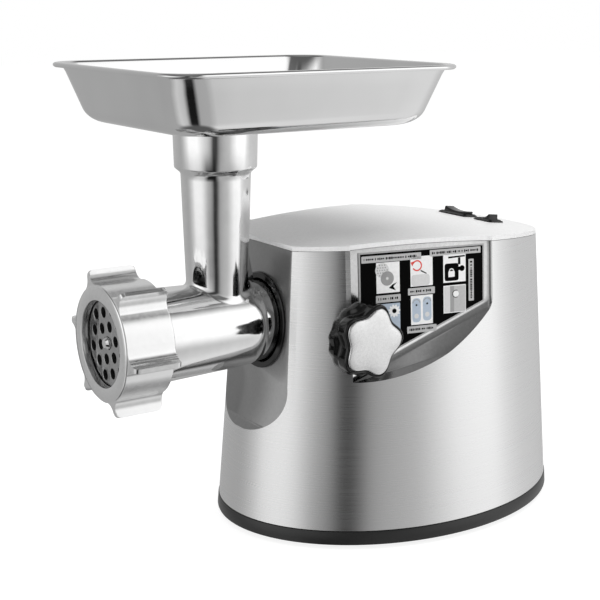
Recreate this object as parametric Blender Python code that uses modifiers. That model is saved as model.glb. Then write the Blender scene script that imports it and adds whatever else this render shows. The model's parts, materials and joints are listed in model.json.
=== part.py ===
"""Electric meat grinder: a drafted oval motor housing with a slide-in cast grinding head and a feed tray.

Metres, +Z up. The head's outlet points along -X and the lock knob along -Y. The origin is on the surface
the feet stand on, under the middle of the machine's length. Turned pieces of the drive are drawn along a
local Z that points out of the head's mouth, and their local X points up.
"""

import math

import bmesh
import bpy
from mathutils import Matrix, Vector

GAP = 0.0003

# Main places. The grinding axis runs along X at AXIS_Z, and the feed neck stands on it at NECK_X.
AXIS_Z = 0.1465
NECK_X = -0.095
BODY_X = 0.048
KNOB_X = -0.0345

# Housing: an ellipse with half axes BODY_A and BODY_B at foot height, drawn in by DRAFT per unit of height.
FOOT_H = 0.003
BODY_A = 0.133
BODY_B = 0.0998
DRAFT = 0.076
BASE_H = 0.0097
BODY_INSET = 0.0005
SHELL_WALL = 0.0015
REAR_X = 0.143
BODY_STEPS = 56
FOOT_DX = 0.085
FOOT_DY = 0.055
VENT_ROWS = 5
VENT_Z = 0.080
VENT_PITCH = 0.010
GLAND_Z = 0.040

# The top is an arch across Y: highest at CROWN_X, falling by CROWN_FALL times the distance squared.
CROWN_X = 0.015
CROWN_Z = 0.205
CROWN_FALL = 0.5
COVER_T = 0.003

# The front is a leaning flat that curves out to the oval below SCOOP_Z.
SCOOP_FOOT_X = -0.0719
SCOOP_LEAN = 0.066
SCOOP_Z = 0.108
SCOOP_R = 0.050
FRONT_T = 0.0025

# Side panels: flats turned by PANEL_YAW and leaning with the draft, open at the top.
PANEL_X = 0.0199
PANEL_Y = 0.0705
PANEL_Z = 0.203
PANEL_YAW = math.radians(11.3)
PANEL_LEAN = math.atan(DRAFT)
PANEL_LEFT = -0.052
PANEL_RIGHT = 0.052
PANEL_LOW = -0.066
PANEL_SLOPE = 0.407
PANEL_T = 0.0025
LABEL_LEFT = -0.046
LABEL_RIGHT = 0.0472
LABEL_TOP = -0.0043
LABEL_RAISE = 0.0033
LABEL_T = 0.0008

# Switches, side by side on the slope of the top: each has a name, its middle in Y and its half width in Y.
SWITCHES = (("on_off", 0.0225, 0.0158), ("reverse", -0.0123, 0.00975))
SWITCH_X = 0.131
SWITCH_HALF_X = 0.0072
SWITCH_TURN = (0, math.atan(2 * CROWN_FALL * (SWITCH_X - CROWN_X)), 0)
ROCKER_LEAN = math.radians(8)
PIVOT_DROP = 0.001

# Head, measured along the outlet direction from the neck axis.
NUT_FACE = 0.086
NUT_BACK = 0.052
NUT_R = 0.038
NUT_HOLE_R = 0.028
WING_R = 0.048
WING_COUNT = 6
WING_START = math.radians(21.5)
MOUTH_END = 0.078
THREAD_R = 0.0342
THREAD_PITCH = 0.006
THREAD_RIDGES = 3
BORE_R = 0.026
BORE_END = -0.058
BARREL_R = 0.031
TAIL_R = 0.0273
TAIL_END = -0.070
PORT_R = 0.031
PLATE_R = 0.0309
PLATE_FRONT = 0.0803
PLATE_T = 0.006
HOLE_PITCH = 0.0114
HOLE_R = 0.0035
BLADE_FRONT = 0.0738
BLADE_T = 0.0055
AUGER_R = 0.0254
AUGER_PITCH = 0.028
DRIVE_END = -0.0805

# Feed neck and tray.
NECK_TOP_Z = 0.2797
COLLAR_LOW_Z = 0.2536
TRAY_RIM_Z = 0.3187
TRAY_FLOOR_Z = 0.2815
TRAY_FRONT_X = -0.174
TRAY_REAR_X = 0.041
TRAY_HALF_Y = 0.0905
TRAY_T = 0.0012
TRAY_CORNER_R = 0.022
TRAY_LIP = 0.0052
TRAY_FILLET_R = 0.012
TRAY_WALL_LEAN = math.radians(18)

# Drive: the motor pinion turns the layshaft gear, and the layshaft pinion turns the output gear.
FIRST_MODULE = 0.0008
SECOND_MODULE = 0.0011
MOTOR_TEETH = 9
LAY_GEAR_TEETH = 63
LAY_PINION_TEETH = 10
OUTPUT_TEETH = 60
LAY_Z = AXIS_Z - SECOND_MODULE * (LAY_PINION_TEETH + OUTPUT_TEETH) / 2
MOTOR_Z = LAY_Z - FIRST_MODULE * (MOTOR_TEETH + LAY_GEAR_TEETH) / 2
BOX_FRONT = -0.084
BOX_SPLIT = -0.104
BOX_REAR = -0.124
MOTOR_END = -0.194

# Lock knob, measured towards -Y from the grinding axis.
KNOB_FACE = 0.0920
KNOB_BACK = 0.0755
KNOB_LOBE = 0.0031
STUD_END = 0.0860
STUD_TIP = 0.0277

# Directions of a turned piece's local Z.
OUTLET = (0, math.radians(-90), 0)
NEAR = (math.radians(90), 0, 0)
UP = (0, 0, 0)

MATERIALS = {
    "cast_aluminium": ((0.78, 0.78, 0.78), 0.16, 1.0),
    "polished_steel": ((0.72, 0.72, 0.72), 0.12, 1.0),
    "brushed_steel": ((0.62, 0.62, 0.62), 0.32, 1.0),
    "grey_front": ((0.42, 0.42, 0.43), 0.40, 0.6),
    "silver_plastic": ((0.80, 0.80, 0.80), 0.35, 0.3),
    "black_plastic": ((0.02, 0.02, 0.02), 0.28, 0.0),
    "label_black": ((0.01, 0.01, 0.01), 0.25, 0.0),
    "rubber": ((0.03, 0.03, 0.03), 0.80, 0.0),
    "gear_steel": ((0.50, 0.50, 0.48), 0.35, 1.0),
    "motor_steel": ((0.40, 0.41, 0.42), 0.45, 1.0),
    "copper": ((0.72, 0.36, 0.18), 0.35, 1.0),
    "bronze": ((0.60, 0.45, 0.22), 0.40, 1.0),
    "magnet": ((0.10, 0.10, 0.11), 0.70, 0.2),
    "board_green": ((0.03, 0.20, 0.08), 0.55, 0.0),
}


def clear_scene():
    for thing in list(bpy.data.objects):
        bpy.data.objects.remove(thing, do_unlink=True)


def new_collection(name):
    collection = bpy.data.collections.new(name)
    bpy.context.scene.collection.children.link(collection)
    return collection


def make_material(name):
    if name in bpy.data.materials:
        return bpy.data.materials[name]
    colour, roughness, metallic = MATERIALS[name]
    material = bpy.data.materials.new(name)
    material.use_nodes = True
    shader = material.node_tree.nodes["Principled BSDF"]
    shader.inputs["Base Color"].default_value = (*colour, 1.0)
    shader.inputs["Roughness"].default_value = roughness
    shader.inputs["Metallic"].default_value = metallic
    return material


def finish_mesh(mesh, material):
    if material:
        mesh.materials.append(make_material(material))
    mesh.shade_smooth()
    mesh.set_sharp_from_angle(angle=math.radians(32))


def place(name, mesh, material, at, turn):
    """A part if it has a material, and a hidden cutter if it has none."""
    thing = bpy.data.objects.new(name, mesh)
    thing.location = at
    thing.rotation_euler = turn
    if material:
        PARTS.objects.link(thing)
    else:
        CUTTERS.objects.link(thing)
        thing.hide_render = True
        thing.display_type = "WIRE"
    return thing


def from_bmesh(name, work, material, at=(0, 0, 0), turn=UP):
    bmesh.ops.recalc_face_normals(work, faces=work.faces)
    mesh = bpy.data.meshes.new(name)
    work.to_mesh(mesh)
    work.free()
    finish_mesh(mesh, material)
    return place(name, mesh, material, at, turn)


def box(name, size, material, at, turn=UP):
    work = bmesh.new()
    bmesh.ops.create_cube(work, size=1.0)
    bmesh.ops.scale(work, vec=size, verts=work.verts)
    return from_bmesh(name, work, material, at, turn)


def cylinder(name, radius, length, material, at, turn=UP, steps=24):
    """A cylinder from its base at the given place, along the local Z."""
    work = bmesh.new()
    bmesh.ops.create_cone(
        work, cap_ends=True, segments=steps, radius1=radius, radius2=radius, depth=length
    )
    bmesh.ops.translate(work, vec=(0, 0, length / 2), verts=work.verts)
    return from_bmesh(name, work, material, at, turn)


def turned(name, profile, material, at, turn=UP, steps=48, ring=False):
    """A profile of (radius, height) turned about the local Z, running down its outer side."""
    mesh = bpy.data.meshes.new(name)
    points = [(radius, 0, height) for radius, height in profile]
    edges = [(i, i + 1) for i in range(len(points) - 1)]
    if ring:
        edges.append((len(points) - 1, 0))
    mesh.from_pydata(points, edges, [])
    thing = place(name, mesh, material, at, turn)
    if material:
        mesh.materials.append(make_material(material))
    screw = thing.modifiers.new("turn", "SCREW")
    screw.steps = steps
    screw.render_steps = steps
    screw.use_merge_vertices = True
    screw.merge_threshold = 1e-5
    screw.use_smooth_shade = True
    return thing


def plate(name, outline, thickness, material, at, turn=UP, holes=()):
    """A flat outline from its base at the given place, along the local Z, with through holes."""
    curve = bpy.data.curves.new(name, "CURVE")
    curve.dimensions = "2D"
    curve.fill_mode = "BOTH"
    curve.extrude = thickness / 2
    for loop in (outline, *holes):
        spline = curve.splines.new("POLY")
        spline.points.add(len(loop) - 1)
        for point, (x, y) in zip(spline.points, loop):
            point.co = (x, y, 0, 1)
        spline.use_cyclic_u = True
    flat = bpy.data.objects.new(name + "_outline", curve)
    bpy.context.scene.collection.objects.link(flat)
    graph = bpy.context.evaluated_depsgraph_get()
    mesh = bpy.data.meshes.new_from_object(flat.evaluated_get(graph))
    bpy.data.objects.remove(flat, do_unlink=True)
    work = bmesh.new()
    work.from_mesh(mesh)
    bpy.data.meshes.remove(mesh)
    bmesh.ops.remove_doubles(work, verts=work.verts, dist=1e-6)
    bmesh.ops.translate(work, vec=(0, 0, thickness / 2), verts=work.verts)
    return from_bmesh(name, work, material, at, turn)


def loft(name, rings, material, at=(0, 0, 0), turn=UP):
    """A closed solid through rings of equal count, with flat ends and triangles for its sides."""
    work = bmesh.new()
    loops = [[work.verts.new(point) for point in ring] for ring in rings]
    count = len(rings[0])
    for low, high in zip(loops, loops[1:]):
        for i in range(count):
            j = (i + 1) % count
            work.faces.new((low[i], low[j], high[j], high[i]))
    bmesh.ops.triangulate(work, faces=work.faces)
    work.faces.new(loops[0])
    work.faces.new(loops[-1])
    return from_bmesh(name, work, material, at, turn)


def boolean(target, tool, operation):
    modifier = target.modifiers.new(operation.lower(), "BOOLEAN")
    modifier.operation = operation
    modifier.object = tool
    return target


def cut(target, *tools):
    for tool in tools:
        boolean(target, tool, "DIFFERENCE")
    return target


def join(target, *tools):
    for tool in tools:
        boolean(target, tool, "UNION")
    return target


def keep(target, *tools):
    for tool in tools:
        boolean(target, tool, "INTERSECT")
    return target


def circle(radius, count, centre=(0, 0)):
    turns = [2 * math.pi * i / count for i in range(count)]
    return [(centre[0] + radius * math.cos(t), centre[1] + radius * math.sin(t)) for t in turns]


def rounded_box(half_x, half_y, radius, steps=4, side_steps=4, centre=(0, 0)):
    """A rectangle with round corners, and points spread along its straight sides."""
    corners = []
    for quarter, (sx, sy) in enumerate(((1, 1), (-1, 1), (-1, -1), (1, -1))):
        for i in range(steps + 1):
            turn = math.pi / 2 * (quarter + i / steps)
            x = sx * (half_x - radius) + radius * math.cos(turn)
            y = sy * (half_y - radius) + radius * math.sin(turn)
            corners.append((centre[0] + x, centre[1] + y))
    points = []
    for i, point in enumerate(corners):
        points.append(point)
        if i % (steps + 1) < steps:
            continue
        after = corners[(i + 1) % len(corners)]
        for k in range(1, side_steps + 1):
            share = k / (side_steps + 1)
            points.append(tuple(p + (q - p) * share for p, q in zip(point, after)))
    return points


def twin_outline(upper_r, lower_r, lower_x, steps=14):
    """Two circles and their tangents: one of upper_r at the origin and one of lower_r at (lower_x, 0)."""
    lean = math.acos((upper_r - lower_r) / abs(lower_x))
    points = []
    for i in range(steps + 1):
        turn = -(math.pi - lean) + 2 * (math.pi - lean) * i / steps
        points.append((upper_r * math.cos(turn), upper_r * math.sin(turn)))
    for i in range(steps + 1):
        turn = math.pi - lean + 2 * lean * i / steps
        points.append((lower_x + lower_r * math.cos(turn), lower_r * math.sin(turn)))
    return points


def involute(angle):
    return math.tan(angle) - angle


def gear_outline(teeth, module, radii_count, start=0.0, backlash=0.00012):
    """Involute teeth, 20 degrees, with one tooth's centre at the start angle."""
    pitch_r = module * teeth / 2
    base_r = pitch_r * math.cos(math.radians(20))
    root_r = pitch_r - 1.25 * module
    tip_r = pitch_r + 0.85 * module
    radii = [root_r + (tip_r - root_r) * i / (radii_count - 1) for i in range(radii_count)]

    def half_angle(radius):
        pressure = math.acos(min(1.0, base_r / radius))
        middle = math.pi / (2 * teeth) - backlash / pitch_r
        return middle + involute(math.radians(20)) - involute(pressure)

    points = []
    for tooth in range(teeth):
        centre = start + 2 * math.pi * tooth / teeth
        sides = [(radius, -half_angle(radius)) for radius in radii]
        sides += [(radius, half_angle(radius)) for radius in reversed(radii)]
        points += [(r * math.cos(centre + t), r * math.sin(centre + t)) for r, t in sides]
    return points


def crown_z(x):
    return CROWN_Z - CROWN_FALL * (x - CROWN_X) ** 2


def oval_ring(z, inset):
    a = BODY_A - DRAFT * (z - FOOT_H) - inset
    b = BODY_B - DRAFT * (z - FOOT_H) - inset
    turns = [2 * math.pi * i / BODY_STEPS for i in range(BODY_STEPS)]
    return [(BODY_X + a * math.cos(t), b * math.sin(t), z) for t in turns]


def oval(name, inset, low, high, material=None):
    return loft(name, [oval_ring(low, inset), oval_ring(high, inset)], material)


def crown_slab(name, upper_drop, lower_drop):
    """A slab across Y between two drops below the crown, or reaching far above it if upper_drop is None."""
    xs = [BODY_X - 0.15 + 0.3 * i / 20 for i in range(21)]
    lower = [(x, crown_z(x) - lower_drop) for x in xs]
    if upper_drop is None:
        upper = [(xs[-1], 0.26), (xs[0], 0.26)]
    else:
        upper = [(x, crown_z(x) - upper_drop) for x in reversed(xs)]
    return plate(name, lower + upper, 0.24, None, (0, 0.12, 0), NEAR)


def scoop_solid(name, inset, material=None):
    """Everything in front of the front's surface, moved into the housing by the inset."""
    top_x = SCOOP_FOOT_X + SCOOP_LEAN * 0.25 + inset
    bend_x = SCOOP_FOOT_X + SCOOP_LEAN * SCOOP_Z + inset
    arc_r = SCOOP_R + inset
    outline = [(-0.2, 0.25), (top_x, 0.25)]
    for i in range(13):
        turn = math.radians(60) * i / 12
        outline.append((bend_x - arc_r * (1 - math.cos(turn)), SCOOP_Z - arc_r * math.sin(turn)))
    outline.append((-0.2, outline[-1][1]))
    return plate(name, outline, 0.24, material, (0, 0.12, 0), NEAR)


def panel_turn(side):
    """Rotation of a panel's frame: local Y up the panel and local Z out of it, on the side -1 or 1."""
    sin_yaw, cos_yaw = math.sin(PANEL_YAW), math.cos(PANEL_YAW)
    sin_lean, cos_lean = math.sin(PANEL_LEAN), math.cos(PANEL_LEAN)
    along = (-side * cos_yaw, -sin_yaw, 0)
    up = (sin_yaw * sin_lean, -side * cos_yaw * sin_lean, cos_lean)
    out = (-sin_yaw * cos_lean, side * cos_yaw * cos_lean, sin_lean)
    return Matrix((along, up, out)).transposed().to_euler()


def panel_recess(name, side, inset, material=None):
    """The space above a side panel, grown by the inset: a flat floor, sloping walls and an open top."""
    reach = 0.016
    flare = reach + inset
    left = PANEL_LEFT - inset
    right = PANEL_RIGHT + inset

    def outline(x_left, x_right, drop):
        low_left = PANEL_LOW + PANEL_SLOPE * x_left - drop
        low_right = PANEL_LOW + PANEL_SLOPE * x_right - drop
        return [(x_left, 0.03), (x_right, 0.03), (x_right, low_right), (x_left, low_left)]

    floor = outline(left, right, 1.08 * inset)
    mouth = outline(left - 0.1 * flare, right + flare, 1.08 * (inset + flare) + PANEL_SLOPE * flare)
    rings = [
        [(-side * x, y, -inset) for x, y in floor],
        [(-side * x, y, reach) for x, y in mouth],
    ]
    return loft(name, rings, material, (PANEL_X, side * PANEL_Y, PANEL_Z), panel_turn(side))


def make_cutters():
    """Solids that several housing pieces share."""
    tools = {
        "body": oval("cut_body", BODY_INSET, 0.0, 0.24),
        "hollow": oval("cut_hollow", BODY_INSET + SHELL_WALL, -0.01, 0.25),
        "scoop": scoop_solid("cut_scoop", 0.0),
        "scoop_shell": scoop_solid("cut_scoop_shell", FRONT_T + GAP),
        "above_walls": crown_slab("cut_above_walls", None, COVER_T + GAP),
        "stud_hole": cylinder("cut_stud_hole", 0.009, 0.06, None, (KNOB_X, -0.04, AXIS_Z), NEAR),
    }
    for side, word in ((-1, "near"), (1, "far")):
        tools["recess_" + word] = panel_recess("cut_recess_" + word, side, 0.0)
        tools["shell_" + word] = panel_recess("cut_shell_" + word, side, PANEL_T + GAP)
    return tools


def make_walls(tools):
    low = FOOT_H + BASE_H + GAP
    shell = oval("housing_shell", BODY_INSET, low, 0.23, "brushed_steel")
    behind = box("cut_behind", (0.1, 0.24, 0.3), None, (REAR_X + 0.05, 0, 0.12))
    cut(shell, tools["hollow"], tools["scoop_shell"], tools["above_walls"], behind)
    cut(shell, tools["shell_near"], tools["shell_far"], tools["stud_hole"])

    front = scoop_solid("front_plate", FRONT_T, "grey_front")
    port_x = NECK_X + 0.07
    port = cylinder("cut_port", PORT_R, 0.06, None, (port_x, 0, AXIS_Z), OUTLET, 48)
    keep(front, tools["body"])
    cut(front, tools["scoop"], tools["above_walls"], port)

    rear = oval("rear_cover", BODY_INSET, low, 0.23, "silver_plastic")
    ahead = box("cut_ahead", (0.3, 0.24, 0.3), None, (REAR_X + GAP - 0.15, 0, 0.12))
    gland = cylinder("cut_gland", 0.0065, 0.05, None, (0.19, 0, GLAND_Z), OUTLET, 20)
    cut(rear, tools["hollow"], tools["above_walls"], ahead, gland)
    for row in range(VENT_ROWS):
        vent_at = (REAR_X + 0.030, 0, VENT_Z + VENT_PITCH * row)
        cut(rear, box(f"cut_rear_vent_{row}", (0.05, 0.050, 0.0045), None, vent_at))


def make_panels(tools):
    for side, word in ((-1, "near"), (1, "far")):
        panel = panel_recess("side_panel_" + word, side, PANEL_T, "silver_plastic")
        keep(panel, tools["body"])
        cut(panel, tools["recess_" + word], tools["above_walls"])
        if side < 0:
            cut(panel, tools["stud_hole"])


def make_label():
    """A thin plate on the near panel, with its lower edge along the panel's slope."""
    ends = (LABEL_LEFT, LABEL_RIGHT)
    low = [(x, PANEL_LOW + LABEL_RAISE + PANEL_SLOPE * x) for x in ends]
    outline = [(LABEL_LEFT, LABEL_TOP), *low, (LABEL_RIGHT, LABEL_TOP)]
    turn = panel_turn(-1)
    lift = turn.to_matrix() @ Vector((0, 0, GAP))
    at = Vector((PANEL_X, -PANEL_Y, PANEL_Z)) + lift
    plate("label_plate", outline, LABEL_T, "label_black", at, turn)


def make_cover(tools):
    cover = oval("top_cover", BODY_INSET, 0.16, 0.23, "silver_plastic")
    keep(cover, crown_slab("cut_cover_slab", 0.0, COVER_T))
    cut(cover, tools["scoop"], tools["recess_near"], tools["recess_far"])
    for name, place_y, half_y in SWITCHES:
        size = (2 * SWITCH_HALF_X - 0.0015, 2 * half_y - 0.003, 0.04)
        cut(cover, box(f"cut_{name}_hole", size, None, switch_place(place_y, 0), SWITCH_TURN))


def foot_places():
    places = [(BODY_X + x, y) for x in (-FOOT_DX, FOOT_DX) for y in (-FOOT_DY, FOOT_DY)]
    return list(enumerate(places, 1))


def make_base():
    """A shallow tub with a lip that stands inside the walls, and slots under the motor."""
    top = FOOT_H + BASE_H
    base = oval("base", 0.0, FOOT_H, top, "black_plastic")
    join(base, oval("cut_base_lip", BODY_INSET + SHELL_WALL + GAP, FOOT_H + 0.005, top + 0.006))
    cut(base, oval("cut_base_hollow", 0.0045, FOOT_H + 0.003, 0.05))
    for row in range(6):
        slot_at = (BODY_X + 0.012 * (row - 2.5), 0, FOOT_H)
        cut(base, box(f"cut_base_vent_{row}", (0.003, 0.070, 0.02), None, slot_at))
    for number, (x, y) in foot_places():
        cut(base, cylinder(f"cut_foot_hole_{number}", 0.0021, 0.02, None, (x, y, -0.002), UP, 12))


def make_feet():
    top = FOOT_H - GAP
    foot = [(0.0028, top), (0.0090, top), (0.0095, 0.0), (0.0045, 0.0), (0.0045, 0.0016), (0.0028, 0.0016)]
    screw = [(0, 0.0075), (0.0018, 0.0075), (0.0018, 0.0012), (0.0038, 0.0012), (0.0038, 0.0004), (0, 0.0004)]
    for number, (x, y) in foot_places():
        turned(f"foot_{number}", foot, "rubber", (x, y, 0), UP, 14, ring=True)
        turned(f"foot_screw_{number}", screw, "gear_steel", (x, y, 0), UP, 10)


def make_port_ring():
    """A collar through the front: its flange follows the lean of the front, and its tube is level."""
    at = (NECK_X, 0, AXIS_Z)
    flange = [(0.0284, -0.020), (0.0326, -0.020), (0.0326, -0.045), (0.0284, -0.045)]
    ring = turned("port_ring", flange, "black_plastic", at, OUTLET, 36, ring=True)
    keep(ring, scoop_solid("cut_flange_back", -GAP))
    cut(ring, scoop_solid("cut_flange_front", -0.0018))
    end = BOX_FRONT + 0.0305
    tube = [(0.0284, -0.0336), (0.0306, -0.0336), (0.0306, end), (0.0284, end)]
    join(ring, turned("cut_port_tube", tube, None, at, OUTLET, 36, ring=True))


def thread_profile():
    """Round ridges down from the mouth."""
    points = []
    for ridge in range(THREAD_RIDGES):
        start = MOUTH_END - THREAD_PITCH * ridge
        points.append((THREAD_R - 0.0009, start))
        points.append((THREAD_R, start - 0.3 * THREAD_PITCH))
        points.append((THREAD_R, start - 0.6 * THREAD_PITCH))
        points.append((THREAD_R - 0.0009, start - 0.9 * THREAD_PITCH))
    return points


def make_head():
    """One casting: the barrel, the feed neck that stands on it, and a web between them."""
    at = (NECK_X, 0, AXIS_Z)
    outer = [(0, MOUTH_END), *thread_profile(), (BARREL_R, 0.0575), (BARREL_R, 0.046), (0.0292, -0.010)]
    outer += [(0.0286, -0.018), (TAIL_R, -0.0225), (TAIL_R, TAIL_END), (0, TAIL_END)]
    head = turned("grinding_head", outer, "cast_aluminium", at, OUTLET, 36)

    neck = [(0, NECK_TOP_Z), (0.0272, NECK_TOP_Z), (0.0276, NECK_TOP_Z - 0.001), (0.0270, COLLAR_LOW_Z)]
    neck += [(0.0250, COLLAR_LOW_Z - 0.0018), (0.0230, COLLAR_LOW_Z - 0.0034), (0.0228, 0.246)]
    neck += [(0.0205, 0.176), (0.0200, AXIS_Z), (0, AXIS_Z)]
    join(head, turned("cut_neck", neck, None, (NECK_X, 0, 0), UP, 32))
    web = [(NECK_X + 0.015, 0.165), (NECK_X + 0.027, 0.165), (NECK_X + 0.027, 0.176)]
    web += [(NECK_X + 0.0205, 0.208), (NECK_X + 0.015, 0.208)]
    join(head, plate("cut_web", web, 0.004, None, (0, 0.002, 0), NEAR))

    bore = [(0, 0.1), (0.0316, 0.1), (0.0316, 0.0675), (BORE_R, 0.0675), (BORE_R, BORE_END)]
    bore += [(0.0083, BORE_END), (0.0083, -0.08), (0, -0.08)]
    cut(head, turned("cut_bore", bore, None, at, OUTLET, 32))
    throat = [(0, 0.30), (0.0251, 0.30), (0.0251, 0.2575), (0.0200, 0.2520), (0.0178, 0.175)]
    throat += [(0.0178, AXIS_Z + 0.001), (0, AXIS_Z + 0.001)]
    cut(head, turned("cut_throat", throat, None, (NECK_X, 0, 0), UP, 32))


def tray_ring(inset, z):
    centre = ((TRAY_FRONT_X + TRAY_REAR_X) / 2, 0)
    half_x = (TRAY_REAR_X - TRAY_FRONT_X) / 2 - inset
    return [(x, y, z) for x, y in rounded_box(half_x, TRAY_HALF_Y - inset, TRAY_CORNER_R, centre=centre)]


def throat_ring(radius, z, guide):
    """A circle about the neck axis whose points face those of the guide ring."""
    turns = [math.atan2(y, x - NECK_X) for x, y, _ in guide]
    return [(NECK_X + radius * math.cos(t), radius * math.sin(t), z) for t in turns]


def tray_rings():
    """The upper surface: over the rim, down a wall and its fillet, over the floor and down the spout."""
    rings = [tray_ring(0.0, TRAY_RIM_Z - 0.0012), tray_ring(0.0006, TRAY_RIM_Z)]
    rings += [tray_ring(0.0040, TRAY_RIM_Z), tray_ring(TRAY_LIP, TRAY_RIM_Z - 0.0012)]
    wall_h = TRAY_RIM_Z - TRAY_FLOOR_Z - TRAY_FILLET_R * (1 - math.sin(TRAY_WALL_LEAN))
    wall_foot = TRAY_LIP + wall_h * math.tan(TRAY_WALL_LEAN)
    for step in range(5):
        turn = TRAY_WALL_LEAN + (math.pi / 2 - TRAY_WALL_LEAN) * step / 4
        inset = wall_foot + TRAY_FILLET_R * (math.cos(TRAY_WALL_LEAN) - math.cos(turn))
        rings.append(tray_ring(inset, TRAY_FLOOR_Z + TRAY_FILLET_R * (1 - math.sin(turn))))
    guide = rings[-1]
    rings.append(throat_ring(0.0245, TRAY_FLOOR_Z, guide))
    rings.append(throat_ring(0.0230, TRAY_FLOOR_Z - 0.0015, guide))
    rings.append(throat_ring(0.0229, TRAY_FLOOR_Z - 0.0170, guide))
    return rings


def make_tray():
    """An open sheet, given its thickness below by Solidify."""
    work = bmesh.new()
    loops = [[work.verts.new(point) for point in ring] for ring in tray_rings()]
    count = len(loops[0])
    for outer, inner in zip(loops, loops[1:]):
        for i in range(count):
            j = (i + 1) % count
            work.faces.new((outer[i], outer[j], inner[j], inner[i]))
    mesh = bpy.data.meshes.new("tray")
    work.to_mesh(mesh)
    work.free()
    finish_mesh(mesh, "polished_steel")
    tray = place("tray", mesh, "polished_steel", (0, 0, 0), UP)
    sheet = tray.modifiers.new("sheet", "SOLIDIFY")
    sheet.thickness = TRAY_T
    sheet.offset = -1.0


def nut_outline():
    """A round body with six thin wings that flare into it."""
    points = []
    height = WING_R - NUT_R
    steps = 5
    for wing in range(WING_COUNT):
        centre = WING_START + 2 * math.pi * wing / WING_COUNT
        side = []
        for i in range(steps + 1):
            share = i / steps
            radius = NUT_R + height * share**1.5
            half_w = 0.0016 + 0.0105 * (1 - share) ** 2.2
            side.append((radius, half_w / radius))
        for radius, turn in side:
            points.append((radius * math.cos(centre - turn), radius * math.sin(centre - turn)))
        for radius, turn in reversed(side):
            points.append((radius * math.cos(centre + turn), radius * math.sin(centre + turn)))
        root_turn = side[0][1]
        for i in (1, 2):
            turn = centre + root_turn + (2 * math.pi / WING_COUNT - 2 * root_turn) * i / 3
            points.append((NUT_R * math.cos(turn), NUT_R * math.sin(turn)))
    return points


def make_nut():
    at = (NECK_X, 0, AXIS_Z)
    start = (NECK_X - NUT_BACK + 0.002, 0, AXIS_Z)
    nut = plate("ring_nut", nut_outline(), NUT_FACE - NUT_BACK + 0.004, "cast_aluminium", start, OUTLET)
    reach = WING_R + 0.0006
    limit = [(0, NUT_FACE), (0.0360, NUT_FACE), (0.0375, NUT_FACE - 0.0015)]
    limit += [(reach - 0.003, NUT_FACE - 0.0018), (reach, NUT_FACE - 0.0048), (reach, NUT_BACK + 0.003)]
    limit += [(reach - 0.003, NUT_BACK), (0, NUT_BACK)]
    keep(nut, turned("cut_nut_limit", limit, None, at, OUTLET, 48))
    inside = [(0, 0.1), (NUT_HOLE_R, 0.1), (NUT_HOLE_R, NUT_FACE - 0.005), (0.0346, NUT_FACE - 0.005)]
    inside += [(0.0346, 0.04), (0, 0.04)]
    cut(nut, turned("cut_nut_inside", inside, None, at, OUTLET, 48))


def plate_holes():
    """A hexagonal pattern: two rings of six in line, and six more between them."""
    spots = []
    for i in range(6):
        turn = math.radians(46) + math.pi / 3 * i
        spots += [(HOLE_PITCH, turn), (2 * HOLE_PITCH, turn)]
        spots.append((math.sqrt(3) * HOLE_PITCH, turn + math.pi / 6))
    return [(r * math.cos(t), r * math.sin(t)) for r, t in spots]


def make_cutting_set():
    holes = [circle(HOLE_R, 10, centre) for centre in plate_holes()]
    holes.append(circle(0.0043, 12))
    plate_at = (NECK_X - PLATE_FRONT + PLATE_T, 0, AXIS_Z)
    plate("cutting_plate", circle(PLATE_R, 48), PLATE_T, "gear_steel", plate_at, OUTLET, holes)

    arms = []
    for i in range(48):
        turn = 2 * math.pi * i / 48
        radius = 0.011 + 0.018 * max(0.0, math.cos(4 * turn)) ** 1.5
        arms.append((radius * math.cos(turn), radius * math.sin(turn)))
    half = 0.0046
    square = [(half, half), (-half, half), (-half, -half), (half, -half)]
    blade_at = (NECK_X - BLADE_FRONT + BLADE_T, 0, AXIS_Z)
    plate("cutting_blade", arms, BLADE_T, "gear_steel", blade_at, OUTLET, [square])


def section(height, radius_at, phase=0.0, count=16):
    turns = [2 * math.pi * i / count for i in range(count)]
    return [(radius_at(t) * math.cos(t + phase), radius_at(t) * math.sin(t + phase), height) for t in turns]


def square_section(height, half):
    return section(height, lambda t: half / max(abs(math.cos(t)), abs(math.sin(t))))


def round_section(height, radius):
    return section(height, lambda t: radius)


def make_auger():
    """A feed screw: a round shaft with one raised thread along its length, and a drive at each end."""
    front = 0.0655
    rear = BORE_END + 0.0022
    count = round((front - rear) / AUGER_PITCH * 10)

    def threaded(turn):
        return 0.0100 + (AUGER_R - 0.0100) * max(0.0, math.cos(turn)) ** 6

    rings = [square_section(DRIVE_END, 0.0062), square_section(TAIL_END - GAP, 0.0062)]
    rings += [round_section(TAIL_END - GAP, 0.0080), round_section(rear, 0.0080)]
    for i in range(count + 1):
        height = rear + (front - rear) * i / count
        rings.append(section(height, threaded, 2 * math.pi * height / AUGER_PITCH))
    rings += [square_section(front, 0.0043), square_section(BLADE_FRONT, 0.0043)]
    rings += [round_section(BLADE_FRONT, 0.0040), round_section(0.0815, 0.0040)]
    rings.append(round_section(0.0830, 0.0028))
    loft("auger", rings, "cast_aluminium", (NECK_X, 0, AXIS_Z), OUTLET)

    top = BORE_END + 0.0019
    low = BORE_END + GAP
    washer = [(0.0084, top), (0.0150, top), (0.0150, low), (0.0084, low)]
    turned("auger_washer", washer, "black_plastic", (NECK_X, 0, AXIS_Z), OUTLET, 24, ring=True)


def drive_at(distance, z=AXIS_Z):
    """The place a distance along the outlet direction, at the given height."""
    return (NECK_X - distance, 0, z)


def gearbox_outline(grow):
    return twin_outline(0.0375 + grow, 0.0310 + grow, -0.0515)


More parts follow.
